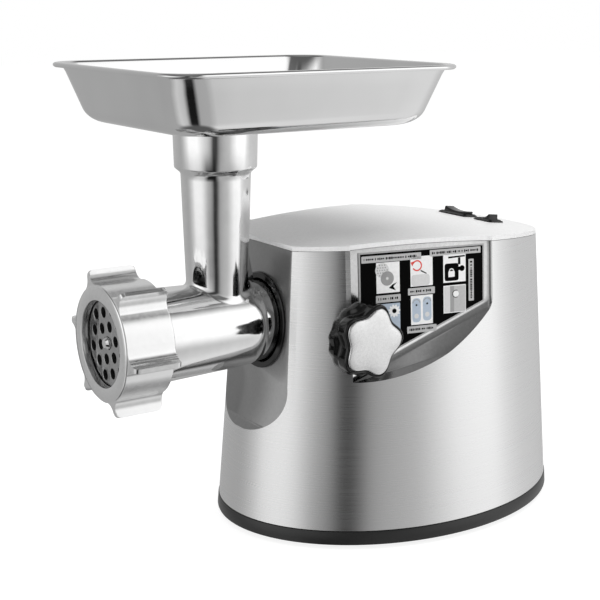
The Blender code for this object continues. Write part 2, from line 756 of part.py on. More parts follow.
def make_gearbox():
    """Two cast halves; the front one carries the round socket that the head's tail slides into."""
    wall = 0.004
    depth = BOX_FRONT - BOX_SPLIT
    outer = gearbox_outline(wall)
    front = plate("gearbox_front", outer, depth, "cast_aluminium", drive_at(BOX_SPLIT), OUTLET)
    inner = plate("cut_box_front", gearbox_outline(0), depth, None, drive_at(BOX_SPLIT - wall), OUTLET)
    nose = [(0.0277, BOX_FRONT + 0.030), (0.0306, BOX_FRONT + 0.030)]
    nose += [(0.0306, BOX_FRONT - 0.001), (0.0277, BOX_FRONT - 0.001)]
    seat = cylinder("cut_front_bush", 0.0153, 0.02, None, drive_at(BOX_FRONT - 0.012), OUTLET)
    stud = cylinder("cut_nose_stud", 0.0044, 0.03, None, (KNOB_X, -0.02, AXIS_Z), NEAR, 16)
    lay = cylinder("cut_front_lay", 0.0043, 0.02, None, drive_at(BOX_FRONT - 0.012, LAY_Z), OUTLET, 16)
    cut(front, inner)
    join(front, turned("cut_nose", nose, None, drive_at(0), OUTLET, 40, ring=True))
    cut(front, seat, stud, lay)

    depth = BOX_SPLIT - GAP - BOX_REAR
    rear = plate("gearbox_rear", outer, depth, "cast_aluminium", drive_at(BOX_REAR), OUTLET)
    inner = plate("cut_box_rear", gearbox_outline(0), depth, None, drive_at(BOX_REAR + wall), OUTLET)
    cut(rear, inner)
    for word, radius, z in (("motor", 0.0055, MOTOR_Z), ("output", 0.0083, AXIS_Z), ("lay", 0.0043, LAY_Z)):
        start = drive_at(BOX_REAR - 0.007, z)
        cut(rear, cylinder(f"cut_rear_{word}", radius, 0.015, None, start, OUTLET, 18))

    bush = [(0.0103, BOX_FRONT - GAP), (0.0150, BOX_FRONT - GAP)]
    bush += [(0.0150, BOX_FRONT - 0.006), (0.0103, BOX_FRONT - 0.006)]
    turned("output_bush", bush, "bronze", drive_at(0), OUTLET, 24, ring=True)


def make_output():
    """The slow shaft: a square socket at its front for the auger, and the output gear behind it."""
    outline = gear_outline(OUTPUT_TEETH, SECOND_MODULE, 2, math.pi / OUTPUT_TEETH)
    gear_at = drive_at(BOX_FRONT - 0.020)
    plate("output_gear", outline, 0.012, "gear_steel", gear_at, OUTLET, [circle(0.0090, 24)])
    shaft = [(0, TAIL_END - 0.0015), (0.0140, TAIL_END - 0.0015), (0.0140, BOX_FRONT + GAP)]
    shaft += [(0.0100, BOX_FRONT + GAP), (0.0100, BOX_FRONT - 0.0066), (0.0087, BOX_FRONT - 0.0066)]
    shaft += [(0.0087, BOX_REAR + 0.005), (0.0080, BOX_REAR + 0.005), (0.0080, BOX_REAR + 0.0005)]
    shaft.append((0, BOX_REAR + 0.0005))
    output = turned("output_shaft", shaft, "gear_steel", drive_at(0), OUTLET, 24)
    socket_at = drive_at(DRIVE_END - 0.0006 + 0.015)
    cut(output, box("cut_socket", (0.0133, 0.0133, 0.03), None, socket_at, OUTLET))


def make_layshaft():
    """The middle shaft: a pinion cut on it, and a wide gear on its hub."""
    start = math.pi - math.pi / LAY_GEAR_TEETH
    outline = gear_outline(LAY_GEAR_TEETH, FIRST_MODULE, 2, start)
    gear_at = drive_at(BOX_FRONT - 0.0325, LAY_Z)
    plate("lay_gear", outline, 0.008, "gear_steel", gear_at, OUTLET, [circle(0.0053, 20)])
    outline = gear_outline(LAY_PINION_TEETH, SECOND_MODULE, 3)
    pinion_at = drive_at(BOX_FRONT - 0.022, LAY_Z)
    shaft = plate("layshaft", outline, 0.0155, "gear_steel", pinion_at, OUTLET)
    stem = [(0, BOX_FRONT - 0.0005), (0.0040, BOX_FRONT - 0.0005)]
    stem += [(0.0040, BOX_REAR + 0.0005), (0, BOX_REAR + 0.0005)]
    hub = [(0, BOX_FRONT - 0.0215), (0.0050, BOX_FRONT - 0.0215)]
    hub += [(0.0050, BOX_FRONT - 0.0325), (0, BOX_FRONT - 0.0325)]
    join(shaft, turned("cut_lay_stem", stem, None, drive_at(0, LAY_Z), OUTLET, 16))
    join(shaft, turned("cut_lay_hub", hub, None, drive_at(0, LAY_Z), OUTLET, 20))


def make_motor_body():
    """The motor's still parts: can, end cap, magnets and brushes."""
    at = drive_at(0, MOTOR_Z)
    start = BOX_REAR - GAP
    can = [(0.0060, start), (0.0300, start), (0.0300, MOTOR_END), (0.0284, MOTOR_END)]
    can += [(0.0284, start - 0.002), (0.0060, start - 0.002)]
    turned("motor_can", can, "motor_steel", at, OUTLET, 36, ring=True)
    start = MOTOR_END - GAP
    cap = [(0.0035, start), (0.0300, start), (0.0300, start - 0.0042), (0.0110, start - 0.0042)]
    cap += [(0.0110, start - 0.0072), (0.0035, start - 0.0072)]
    turned("motor_end_cap", cap, "black_plastic", at, OUTLET, 36, ring=True)
    for number, middle in ((1, 0.0), (2, math.pi)):
        turns = [middle + math.radians(-62 + 124 * i / 10) for i in range(11)]
        outline = [(0.0280 * math.cos(t), 0.0280 * math.sin(t)) for t in turns]
        outline += [(0.0228 * math.cos(t), 0.0228 * math.sin(t)) for t in reversed(turns)]
        plate(f"magnet_{number}", outline, 0.046, "magnet", drive_at(BOX_REAR - 0.055, MOTOR_Z), OUTLET)
    for number, side in ((1, 1), (2, -1)):
        x, _, z = drive_at(BOX_REAR - 0.0605, MOTOR_Z)
        box(f"brush_{number}", (0.005, 0.013, 0.006), "magnet", (x, side * 0.016, z))


def make_rotor():
    at = drive_at(0, MOTOR_Z)
    shaft = [(0, BOX_FRONT - 0.0335), (0.0031, BOX_FRONT - 0.0335), (0.0031, MOTOR_END - 0.018)]
    shaft.append((0, MOTOR_END - 0.018))
    teeth = gear_outline(MOTOR_TEETH, FIRST_MODULE, 3)
    pinion_at = drive_at(BOX_FRONT - 0.034, MOTOR_Z)
    rotor = plate("motor_shaft", teeth, 0.011, "gear_steel", pinion_at, OUTLET)
    join(rotor, turned("cut_motor_stem", shaft, None, at, OUTLET, 16))
    for name, radius, start, end, material in (
        ("rotor_core", 0.0222, 0.010, 0.052, "motor_steel"),
        ("commutator", 0.0090, 0.0545, 0.0665, "copper"),
    ):
        drum = [(0.0034, BOX_REAR - start), (radius, BOX_REAR - start)]
        drum += [(radius, BOX_REAR - end), (0.0034, BOX_REAR - end)]
        turned(name, drum, material, at, OUTLET, 28, ring=True)
    blades = []
    for i in range(64):
        turn = 2 * math.pi * i / 64
        radius = 0.0240 if i % 8 < 3 else 0.0095
        blades.append((radius * math.cos(turn), radius * math.sin(turn)))
    fan_at = drive_at(MOTOR_END - 0.0165, MOTOR_Z)
    plate("cooling_fan", blades, 0.007, "black_plastic", fan_at, OUTLET, [circle(0.0034, 16)])


def lobed_outline(middle_r, count=40):
    """A round outline with five lobes, one of them pointing back along X."""
    points = []
    for i in range(count):
        turn = 2 * math.pi * i / count
        radius = middle_r + KNOB_LOBE * math.cos(5 * (turn - math.radians(1)))
        points.append((radius * math.cos(turn), radius * math.sin(turn)))
    return points


def make_lock():
    """The knob, its cap, and the threaded stud it screws into the tail of the head."""
    grip_h = 0.0115
    grip_at = (KNOB_X, grip_h - KNOB_FACE, AXIS_Z)
    at = (KNOB_X, 0, AXIS_Z)
    knob = plate("knob_body", lobed_outline(0.0221), grip_h, "black_plastic", grip_at, NEAR)
    start = KNOB_FACE - grip_h + 0.0005
    back = [(0, start), (0.0235, start), (0.0245, KNOB_BACK + 0.001), (0.0235, KNOB_BACK)]
    back += [(0.0115, KNOB_BACK), (0.0115, KNOB_BACK - 0.0035), (0, KNOB_BACK - 0.0035)]
    join(knob, turned("cut_knob_back", back, None, at, NEAR, 40))
    socket_at = (KNOB_X, 0.020 - STUD_END - GAP, AXIS_Z)
    cut(knob, cylinder("cut_knob_socket", 0.0043, 0.020, None, socket_at, NEAR, 16))
    cap_at = (KNOB_X, -KNOB_FACE - GAP, AXIS_Z)
    plate("knob_cap", lobed_outline(0.0197), 0.0015, "silver_plastic", cap_at, NEAR)
    stud = [(0, STUD_END), (0.0040, STUD_END), (0.0040, STUD_TIP + 0.001), (0.0030, STUD_TIP), (0, STUD_TIP)]
    turned("lock_stud", stud, "gear_steel", at, NEAR, 16)


def switch_place(place_y, lift):
    """A point the given height off the top cover, on the slope under the switches."""
    slope = SWITCH_TURN[1]
    return (SWITCH_X + lift * math.sin(slope), place_y, crown_z(SWITCH_X) + lift * math.cos(slope))


def make_switch(name, place_y, half_y):
    """A frame with a pocket in it, clipped into the top cover."""
    width = 2 * SWITCH_HALF_X
    length = 2 * half_y
    frame_at = switch_place(place_y, GAP + 0.0008)
    frame = box(f"{name}_frame", (width, length, 0.0016), "black_plastic", frame_at, SWITCH_TURN)
    body_size = (width - 0.0025, length - 0.0044, 0.015)
    body_at = switch_place(place_y, -0.0067)
    join(frame, box(f"cut_{name}_body", body_size, None, body_at, SWITCH_TURN))
    pocket_size = (width - 0.0042, length - 0.0064, 0.011)
    pocket_at = switch_place(place_y, -0.0025)
    cut(frame, box(f"cut_{name}_pocket", pocket_size, None, pocket_at, SWITCH_TURN))


def make_rocker(name, place_y, half_y, lean):
    """A rocker with a hollow top, leaning over on a pivot along X."""
    reach = half_y - 0.0044
    outline = [(reach, 0.0012), (reach + 0.0002, 0.0046)]
    for i in range(1, 6):
        y = reach - 2 * reach * i / 6
        outline.append((y, 0.0030 + 0.0016 * (y / reach) ** 2))
    outline += [(-reach - 0.0002, 0.0046), (-reach, 0.0012), (-0.0030, -0.0030), (0.0030, -0.0030)]
    sine, cosine = math.sin(lean), math.cos(lean)
    tilted = [(y * cosine - z * sine, y * sine + z * cosine) for y, z in outline]
    width = 2 * SWITCH_HALF_X - 0.0052
    slope = Matrix.Rotation(SWITCH_TURN[1], 3, "Y")
    across = slope @ Matrix(((0, 0, 1), (1, 0, 0), (0, 1, 0)))
    start = Vector(switch_place(place_y, -PIVOT_DROP)) + slope @ Vector((-width / 2, 0, 0))
    plate(f"{name}_rocker", tilted, width, "black_plastic", start, across.to_euler())


def make_inside():
    """What carries the motor and the electrics."""
    floor = FOOT_H + 0.003 + GAP
    cradle_top = 0.060
    cradle_at = (0.064, 0, (floor + cradle_top) / 2)
    cradle = box("motor_cradle", (0.050, 0.050, cradle_top - floor), "black_plastic", cradle_at)
    cut(cradle, cylinder("cut_cradle", 0.0304, 0.10, None, drive_at(-0.22, MOTOR_Z), OUTLET, 36))
    top = 0.1485
    bracket = box("board_bracket", (0.053, 0.060, 0.002), "black_plastic", (0.0995, 0, top - 0.001))
    post_at = (0.1245, 0, (floor + top) / 2)
    join(bracket, box("cut_bracket_post", (0.003, 0.040, top - floor), None, post_at))
    box("circuit_board", (0.044, 0.056, 0.0016), "board_green", (0.098, 0, top + GAP + 0.0008))
    cylinder("capacitor", 0.0065, 0.016, "motor_steel", (0.088, -0.015, top + 2 * GAP + 0.0016), UP, 16)


def make_gland():
    face_x = BODY_X + BODY_A - BODY_INSET - DRAFT * (GLAND_Z - FOOT_H)
    profile = [(0.0035, 0.016), (0.0060, 0.016), (0.0060, -0.0010), (0.0085, -0.0010)]
    profile += [(0.0085, -0.0030), (0.0035, -0.0030)]
    turned("cord_gland", profile, "black_plastic", (face_x, 0, GLAND_Z), OUTLET, 20, ring=True)


clear_scene()
PARTS = new_collection("meat_grinder")
CUTTERS = new_collection("cutters")
CUTTERS.hide_render = True
shared = make_cutters()
make_base()
make_feet()
make_walls(shared)
make_panels(shared)
make_label()
make_cover(shared)
make_port_ring()
for switch, middle_y, half_width in SWITCHES:
    make_switch(switch, middle_y, half_width)
make_rocker(*SWITCHES[0], ROCKER_LEAN)
make_rocker(*SWITCHES[1], -ROCKER_LEAN)
make_gearbox()
make_output()
make_layshaft()
make_motor_body()
make_rotor()
make_inside()
make_gland()
make_head()
make_auger()
make_cutting_set()
make_nut()
make_tray()
make_lock()
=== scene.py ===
"""Looks for the electric meat grinder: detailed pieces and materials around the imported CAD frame.

Metres, +Z up, in the frame of the CAD part. The head's outlet points along -X and the lock knob along -Y.
"""

import json
import math
import random

import bmesh
import bpy
from mathutils import Matrix, Vector

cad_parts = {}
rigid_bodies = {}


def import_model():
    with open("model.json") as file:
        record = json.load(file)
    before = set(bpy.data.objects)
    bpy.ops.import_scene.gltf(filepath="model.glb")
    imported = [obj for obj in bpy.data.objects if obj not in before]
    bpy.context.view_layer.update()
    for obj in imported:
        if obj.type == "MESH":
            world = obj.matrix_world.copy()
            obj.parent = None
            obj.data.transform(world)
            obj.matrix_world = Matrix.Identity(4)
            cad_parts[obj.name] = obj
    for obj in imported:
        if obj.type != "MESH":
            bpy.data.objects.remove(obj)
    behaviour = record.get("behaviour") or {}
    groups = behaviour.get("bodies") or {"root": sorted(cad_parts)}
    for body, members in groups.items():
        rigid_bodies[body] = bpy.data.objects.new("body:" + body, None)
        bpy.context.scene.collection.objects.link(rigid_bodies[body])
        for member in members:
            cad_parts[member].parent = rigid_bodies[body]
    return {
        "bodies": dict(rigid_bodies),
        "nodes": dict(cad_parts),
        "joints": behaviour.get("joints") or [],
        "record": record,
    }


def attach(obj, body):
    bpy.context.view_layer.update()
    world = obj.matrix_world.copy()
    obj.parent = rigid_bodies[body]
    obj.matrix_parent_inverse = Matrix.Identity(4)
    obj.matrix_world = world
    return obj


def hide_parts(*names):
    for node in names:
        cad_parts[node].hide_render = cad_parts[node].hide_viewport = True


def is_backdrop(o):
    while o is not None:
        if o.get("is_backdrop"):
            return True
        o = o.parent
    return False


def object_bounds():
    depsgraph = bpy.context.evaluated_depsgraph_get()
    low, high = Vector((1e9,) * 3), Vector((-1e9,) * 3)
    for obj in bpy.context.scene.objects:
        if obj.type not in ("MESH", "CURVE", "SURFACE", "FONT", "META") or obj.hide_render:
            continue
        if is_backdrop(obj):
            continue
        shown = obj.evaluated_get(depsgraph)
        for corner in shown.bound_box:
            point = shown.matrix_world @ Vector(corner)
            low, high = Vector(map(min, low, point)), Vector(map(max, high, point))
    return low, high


# Places and sizes that repeat those of the CAD part.
GAP = 0.0003
AXIS_Z = 0.1465
NECK_X = -0.095
BODY_X = 0.048
KNOB_X = -0.0345
FOOT_H = 0.003
BODY_A = 0.133
BODY_B = 0.0998
DRAFT = 0.076
BASE_H = 0.0097
BODY_INSET = 0.0005
SHELL_WALL = 0.0015
WALL_LOW = FOOT_H + BASE_H + GAP
REAR_X = 0.143
FOOT_DX = 0.085
FOOT_DY = 0.055
SLOT_COUNT = 6
SLOT_PITCH = 0.012
VENT_ROWS = 5
VENT_Z = 0.080
VENT_PITCH = 0.010
GLAND_Z = 0.040
CROWN_X = 0.015
CROWN_Z = 0.205
CROWN_FALL = 0.5
COVER_T = 0.003
SCOOP_FOOT_X = -0.0719
SCOOP_LEAN = 0.066
SCOOP_Z = 0.108
SCOOP_R = 0.050
FRONT_T = 0.0025
PANEL_X = 0.0199
PANEL_Y = 0.0705
PANEL_Z = 0.203
PANEL_YAW = math.radians(11.3)
PANEL_LEAN = math.atan(DRAFT)
PANEL_LEFT = -0.052
PANEL_RIGHT = 0.052
PANEL_LOW = -0.066
PANEL_SLOPE = 0.407
PANEL_T = 0.0025
RECESS_ROUND = 0.002
LABEL_LEFT = -0.046
LABEL_RIGHT = 0.0472
LABEL_TOP = -0.0043
LABEL_RAISE = 0.0033
LABEL_T = 0.0008
SWITCHES = (("on_off", 0.0225, 0.0158, 8), ("reverse", -0.0123, 0.00975, -8))
ROCKER_ENDS = {"on_off": (0.0048, 0.0066), "reverse": (0.0034, 0.0060)}
SWITCH_X = 0.131
SWITCH_HALF_X = 0.0072
SWITCH_LEAN = math.atan(2 * CROWN_FALL * (SWITCH_X - CROWN_X))
PIVOT_DROP = 0.001
NUT_FACE = 0.086
NUT_BACK = 0.052
NUT_R = 0.038
NUT_HOLE_R = 0.028
WING_R = 0.048
WING_COUNT = 6
WING_START = math.radians(21.5)
WING_CORNER = 0.0036
NUT_EDGE = 0.0006
NUT_CHAMFER = 0.0011
HEAD_AT = (NECK_X, 0, AXIS_Z)
MOUTH_END = 0.078
THREAD_R = 0.0342
THREAD_PITCH = 0.006
PLATE_R = 0.0309
PLATE_FRONT = 0.0803
PLATE_T = 0.006
PLATE_BORE_R = 0.0043
PLATE_EDGE = 0.0003
HOLE_PITCH = 0.0114
HOLE_R = 0.0035
THROAT_R = 0.0178
NECK_FOOT_R = 0.0206
NECK_FILLET = 0.0038
NECK_TOP_Z = 0.2797
TRAY_RIM_Z = 0.3187
TRAY_FLOOR_Z = 0.2815
TRAY_FRONT_X = -0.174
TRAY_REAR_X = 0.041
TRAY_HALF_Y = 0.0905
TRAY_T = 0.0012
TRAY_CORNER_R = 0.022
TRAY_LIP = 0.0052
TRAY_FILLET_R = 0.012
TRAY_WALL_LEAN = math.radians(18)
KNOB_FACE = 0.0920
KNOB_BACK = 0.0755
KNOB_LOBE = 0.0026
PORT_R = 0.031

# The part of a noise texture's range over which a material changes.
NOISE_LOW = 0.3
NOISE_HIGH = 0.7

# Camera: where it stands, where it looks, and its lens.
CAMERA_AT = (-0.5143, -0.7279, 0.3607)
CAMERA_YAW = 0.588
CAMERA_PITCH = 0.23
CAMERA_ROLL = 0.002
CAMERA_LENS = 77.79

# Studio: brightness all round at eye level, as (degrees from the camera's back, brightness).
STUDIO_ROUND = (
    (-180, 0.62), (-150, 0.48), (-105, 0.40), (-95, 0.50), (-82, 0.80), (-72, 1.12), (-46, 1.12),
    (-32, 0.84), (-16, 0.60), (-9, 0.42), (-2, 0.06), (7, 0.05), (16, 0.32), (26, 0.46), (42, 0.60),
    (54, 0.92), (66, 1.20), (90, 1.20), (98, 0.85), (112, 0.64), (150, 0.60), (180, 0.62),
)
# The same for what is below eye level.
STUDIO_LOW = (
    (-180, 0.38), (-80, 0.40), (-60, 0.66), (-38, 0.56), (-22, 0.01), (3, 0.01), (18, 0.42),
    (50, 0.44), (64, 0.54), (84, 0.78), (104, 0.78), (140, 0.60), (180, 0.38),
)
# The same for what is above it, where a dark flag hangs on the near side.
STUDIO_FLAG = ((22, 0.16), (48, 0.16), (56, 0.97))
STUDIO_HIGH = sorted([
    *STUDIO_FLAG, *[stop for stop in STUDIO_ROUND if not STUDIO_FLAG[0][0] < stop[0] < STUDIO_FLAG[-1][0]]
])
STUDIO_UNDER = ((-180, 0.10), (180, 0.10))
STUDIO_CEILING = ((-180, 0.12), (180, 0.12))
STUDIO_ZENITH = ((-180, 0.24), (180, 0.24))
# From below upwards: the heights on a unit sphere between which a layer takes over from the one before.
STUDIO_LAYERS = (
    (-0.96, -0.82, STUDIO_LOW), (-0.48, -0.04, STUDIO_ROUND), (0.14, 0.27, STUDIO_HIGH),
    (0.58, 0.83, STUDIO_CEILING), (0.86, 0.96, STUDIO_ZENITH),
)
BACKGROUND = 1.0
FLOOR_HALF = 6.0

# Directions of a turned piece: its local Z runs out of the mouth, towards the near side, along +X, or up.
OUTLET = Matrix(((0, 0, -1), (0, 1, 0), (1, 0, 0)))
NEAR = Matrix(((1, 0, 0), (0, 0, -1), (0, 1, 0)))
ALONG_X = Matrix(((0, 0, 1), (1, 0, 0), (0, 1, 0)))
UP = Matrix.Identity(3)


# ---- materials


def add_node(tree, kind, **values):
    """A new node. Input values are given by socket name, with _ for a space."""
    node = tree.nodes.new(kind)
    for socket, value in values.items():
        node.inputs[socket.replace("_", " ")].default_value = value
    return node


def new_material(name, colour, roughness, metallic, **sockets):
    """A Principled material. Other sockets are given by name, with _ for a space."""
    material = bpy.data.materials.new(name)
    material.use_nodes = True
    shader = material.node_tree.nodes["Principled BSDF"]
    values = {"Base Color": (*colour, 1.0), "Roughness": roughness, "Metallic": metallic, **sockets}
    for socket, value in values.items():
        shader.inputs[socket.replace("_", " ")].default_value = value
    return material


def noise(material, scale, detail, stretch=(1, 1, 1)):
    """The factor socket of a noise texture in object coordinates."""
    tree = material.node_tree
    place = add_node(tree, "ShaderNodeTexCoord")
    mapping = add_node(tree, "ShaderNodeMapping", Scale=stretch)
    texture = add_node(tree, "ShaderNodeTexNoise", Scale=scale, Detail=detail)
    tree.links.new(place.outputs["Object"], mapping.inputs["Vector"])
    tree.links.new(mapping.outputs["Vector"], texture.inputs["Vector"])
    return texture.outputs["Fac"]


def to_shader(material, source, socket):
    shader = material.node_tree.nodes["Principled BSDF"]
    material.node_tree.links.new(source, shader.inputs[socket])


def vary_roughness(material, source, low, high):
    values = {"From_Min": NOISE_LOW, "From_Max": NOISE_HIGH, "To_Min": low, "To_Max": high}
    spread = add_node(material.node_tree, "ShaderNodeMapRange", **values)
    material.node_tree.links.new(source, spread.inputs["Value"])
    to_shader(material, spread.outputs["Result"], "Roughness")


def vary_colour(material, source, low, high):
    ramp = add_node(material.node_tree, "ShaderNodeValToRGB")
    for element, place, colour in zip(ramp.color_ramp.elements, (NOISE_LOW, NOISE_HIGH), (low, high)):
        element.position = place
        element.color = (*colour, 1.0)
    material.node_tree.links.new(source, ramp.inputs["Fac"])
    to_shader(material, ramp.outputs["Color"], "Base Color")


def add_bump(material, source, height):
    """Bumps of the given height in metres."""
    bump = add_node(material.node_tree, "ShaderNodeBump", Strength=1.0, Distance=height)
    material.node_tree.links.new(source, bump.inputs["Height"])
    to_shader(material, bump.outputs["Normal"], "Normal")


def grey(value):
    return (value, value, value)


def brush_round(material):
    """Stretches the highlights of a material up and down, as brushing along the horizontal does."""
    shader = material.node_tree.nodes["Principled BSDF"]
    shader.inputs["Anisotropic"].default_value = 0.75
    shader.inputs["Anisotropic Rotation"].default_value = 0.25
    tangent = add_node(material.node_tree, "ShaderNodeTangent")
    tangent.direction_type = "RADIAL"
    tangent.axis = "Z"
    to_shader(material, tangent.outputs["Tangent"], "Tangent")


# Noises as (scale, detail, stretch). Each metal has its grey and roughness, then a noise and a height for its
# bumps, a noise and a range for its roughness, and a noise and a range for its grey.
WAVES = (38.0, 1.0)
HAZE = (160.0, 4.0)
SATIN_WAVES = (45.0, 2.0)
SATIN_HAZE = (420.0, 4.0)
POLISH_LINES = (60.0, 3.0, (1, 1, 14))
POLISH_PATCHES = (18.0, 2.0)
BRUSH_LINES = (14.0, 6.0, (1, 1, 150))
METALS = {
    "cast_aluminium": (0.90, 0.08, WAVES, 0.00022, HAZE, (0.055, 0.12), HAZE, (0.86, 0.91)),
    "satin_aluminium": (0.86, 0.2, SATIN_WAVES, 0.00016, SATIN_HAZE, (0.15, 0.25), SATIN_HAZE, (0.88, 0.94)),
    "polished_tray": (
        0.86, 0.12, POLISH_LINES, 0.000006, POLISH_LINES, (0.06, 0.11), POLISH_PATCHES, (0.83, 0.88)
    ),
    "brushed_side": (0.84, 0.3, BRUSH_LINES, 0.000003, BRUSH_LINES, (0.26, 0.32), BRUSH_LINES, (0.83, 0.87)),
}


def metal(name, value, roughness, bumps, height, gloss, gloss_range, tint, tint_range):
    material = new_material(name, grey(value), roughness, 1.0)
    sources = {wanted: noise(material, *wanted) for wanted in (bumps, gloss, tint)}
    add_bump(material, sources[bumps], height)
    vary_roughness(material, sources[gloss], *gloss_range)
    vary_colour(material, sources[tint], *[grey(end) for end in tint_range])
    return material


def speckled(name, colour, roughness, metallic, scale, height, spread=0.04, **sockets):
    """Moulded or machined: fine texture in height, roughness and colour."""
    material = new_material(name, colour, roughness, metallic, **sockets)
    grain = noise(material, scale, 4.0)
    add_bump(material, grain, height)
    vary_roughness(material, grain, roughness - spread, roughness + spread)
    mottle = noise(material, scale / 3, 3.0)
    vary_colour(material, mottle, [c * 0.95 for c in colour], [c * 1.03 for c in colour])
    return material


# Each as colour, roughness, metallic, scale and height of the speckle, and how far it varies the roughness.
SPECKLED = {
    "grey_front": (grey(0.34), 0.34, 0.85, 1400, 0.000003, 0.02),
    "top_silver": (grey(0.94), 0.40, 0.15, 1600, 0.000003, 0.02),
    "silver_plastic": (grey(0.88), 0.14, 1.0, 1300, 0.000001, 0.02),
    "cap_silver": (grey(0.80), 0.26, 0.95, 1500, 0.000002, 0.02),
    "rear_silver": (grey(0.70), 0.36, 0.5, 1300, 0.000006),
    "black_plastic": (grey(0.004), 0.13, 0.0, 900, 0.000001, 0.02),
    "base_black": (grey(0.014), 0.34, 0.0, 1500, 0.000010),
    "rubber": (grey(0.03), 0.75, 0.0, 1800, 0.00003),
    "plate_steel": (grey(0.50), 0.22, 1.0, 700, 0.000008, 0.06),
    # Near-black walls for the cutting plate's holes: painted shade inside the holes, not the steel's own
    # colour.
    "hole_painted_shade": (grey(0.01), 0.6, 0.0, 700, 0.000008, 0.06),
    "gear_steel": (grey(0.46), 0.34, 1.0, 500, 0.00001),
    "motor_steel": ((0.38, 0.39, 0.40), 0.42, 1.0, 500, 0.00001),
    "copper": ((0.72, 0.36, 0.18), 0.34, 1.0, 500, 0.00001),
    "bronze": ((0.60, 0.45, 0.22), 0.38, 1.0, 500, 0.00001),
    "magnet": ((0.10, 0.10, 0.11), 0.65, 0.2, 700, 0.00002),
    "board_green": ((0.03, 0.20, 0.08), 0.5, 0.0, 600, 0.00001),
    "label_border": (grey(0.42), 0.30, 0.3, 1800, 0.000002),
}
LABEL_INKS = {
    "white": grey(0.90), "bar": grey(0.50), "grey": grey(0.33), "pale": grey(0.68),
    "blue": (0.46, 0.54, 0.64), "red": (0.75, 0.05, 0.03),
}


def make_materials():
    looks = {name: metal(name, *values) for name, values in METALS.items()}
    brush_round(looks["brushed_side"])
    for name, values in SPECKLED.items():
        looks[name] = speckled(name, *values)
    for name, colour in LABEL_INKS.items():
        looks[f"label_{name}"] = speckled(f"label_{name}", colour, 0.30, 0.0, 1800, 0.000002)
    black = ("label_black", grey(0.001), 0.3, 0.0, 1800, 0.000002, 0.03)
    looks["label_black"] = speckled(*black, Specular_IOR_Level=0.04)
    return looks


CAD_LOOKS = {
    "cast_aluminium": ("gearbox_front", "gearbox_rear", "auger"),
    "gear_steel": (
        "output_shaft", "output_gear", "layshaft", "lay_gear", "motor_shaft", "cutting_blade", "lock_stud",
        *[f"foot_screw_{number}" for number in range(1, 5)],
    ),
    "motor_steel": ("motor_can", "rotor_core", "capacitor"),
    "black_plastic": (
        "motor_end_cap", "cooling_fan", "motor_cradle", "board_bracket", "auger_washer", "cord_gland",
    ),
    "copper": ("commutator",),
    "bronze": ("output_bush",),
    "magnet": ("magnet_1", "magnet_2", "brush_1", "brush_2"),
    "board_green": ("circuit_board",),
    "rubber": [f"foot_{number}" for number in range(1, 5)],
}


def dress_cad_nodes(nodes):
    for look, names in CAD_LOOKS.items():
        for name in names:
            thing = nodes[name]
            if not thing.material_slots:
                thing.data.materials.append(LOOKS[look])
            for slot in thing.material_slots:
                slot.material = LOOKS[look]


# ---- mesh tools


def linked(name, work):
    """A linked object from a bmesh."""
    mesh = bpy.data.meshes.new(name)
    work.to_mesh(mesh)
    work.free()
    thing = bpy.data.objects.new(name, mesh)
    bpy.context.scene.collection.objects.link(thing)
    return thing


def object_from(name, work):
    """The same, with its faces turned outwards."""
    bmesh.ops.recalc_face_normals(work, faces=work.faces)
    return linked(name, work)


def add_skin(work, rings, loop=False, caps=True):
    """Faces between rings of equal count, which may loop. Without a loop the ends may have caps."""
    loops = [[work.verts.new(point) for point in ring] for ring in rings]
    count = len(rings[0])
    pairs = list(zip(loops, loops[1:]))
    if loop:
        pairs.append((loops[-1], loops[0]))
    for low, high in pairs:
        for i in range(count):
            j = (i + 1) % count
            work.faces.new((low[i], low[j], high[j], high[i]))
    if caps and not loop:
        work.faces.new(loops[0])
        work.faces.new(loops[-1])


def skinned(name, rings, loop=False):
    """A skin as an object, its four-sided faces split so that each face is flat."""
    work = bmesh.new()
    add_skin(work, rings, loop)
    bmesh.ops.triangulate(work, faces=[face for face in work.faces if len(face.verts) == 4])
    return object_from(name, work)


def placed(points, at, axes=UP):
    origin = Vector(at)
    return [origin + axes @ Vector(point) for point in points]


def lifted(outline, z):
    return [(x, y, z) for x, y in outline]


def rectangle(left, right, low, high):
    return [(left, low), (right, low), (right, high), (left, high)]


def circle_turns(count):
    return [2 * math.pi * i / count for i in range(count)]


def disc(x, y, radius, count=28):
    return [(x + radius * math.cos(t), y + radius * math.sin(t)) for t in circle_turns(count)]


def soften(points, radius, closed=True, steps=4):
    """Rounds each corner of a polyline by a short curve that starts the radius away from it."""
    result = []
    count = len(points)
    for i, corner in enumerate(points):
        if not closed and i in (0, count - 1):
            result.append(tuple(corner))
            continue
        corner = Vector(corner)
        before = Vector(points[i - 1]) - corner
        after = Vector(points[(i + 1) % count]) - corner
        cut = min(radius, 0.45 * before.length, 0.45 * after.length)
        start = corner + before.normalized() * cut
        end = corner + after.normalized() * cut
        for k in range(steps + 1):
            t = k / steps
            result.append(tuple(start * (1 - t) ** 2 + corner * (2 * t * (1 - t)) + end * t**2))
    return result


def prism(name, outline, low, high, at, axes=UP):
    return skinned(name, [placed(lifted(outline, z), at, axes) for z in (low, high)])


def disc_cutter(name, radius, length, at, axes=UP, steps=48):
    return prism(name, disc(0, 0, radius, steps), 0.0, length, at, axes)


def block(name, size, at, axes=UP):
    half_x, half_y, half_z = (value / 2 for value in size)
    return prism(name, rectangle(-half_x, half_x, -half_y, half_y), -half_z, half_z, at, axes)


def evaluated_mesh(thing):
    graph = bpy.context.evaluated_depsgraph_get()
    return bpy.data.meshes.new_from_object(thing.evaluated_get(graph))


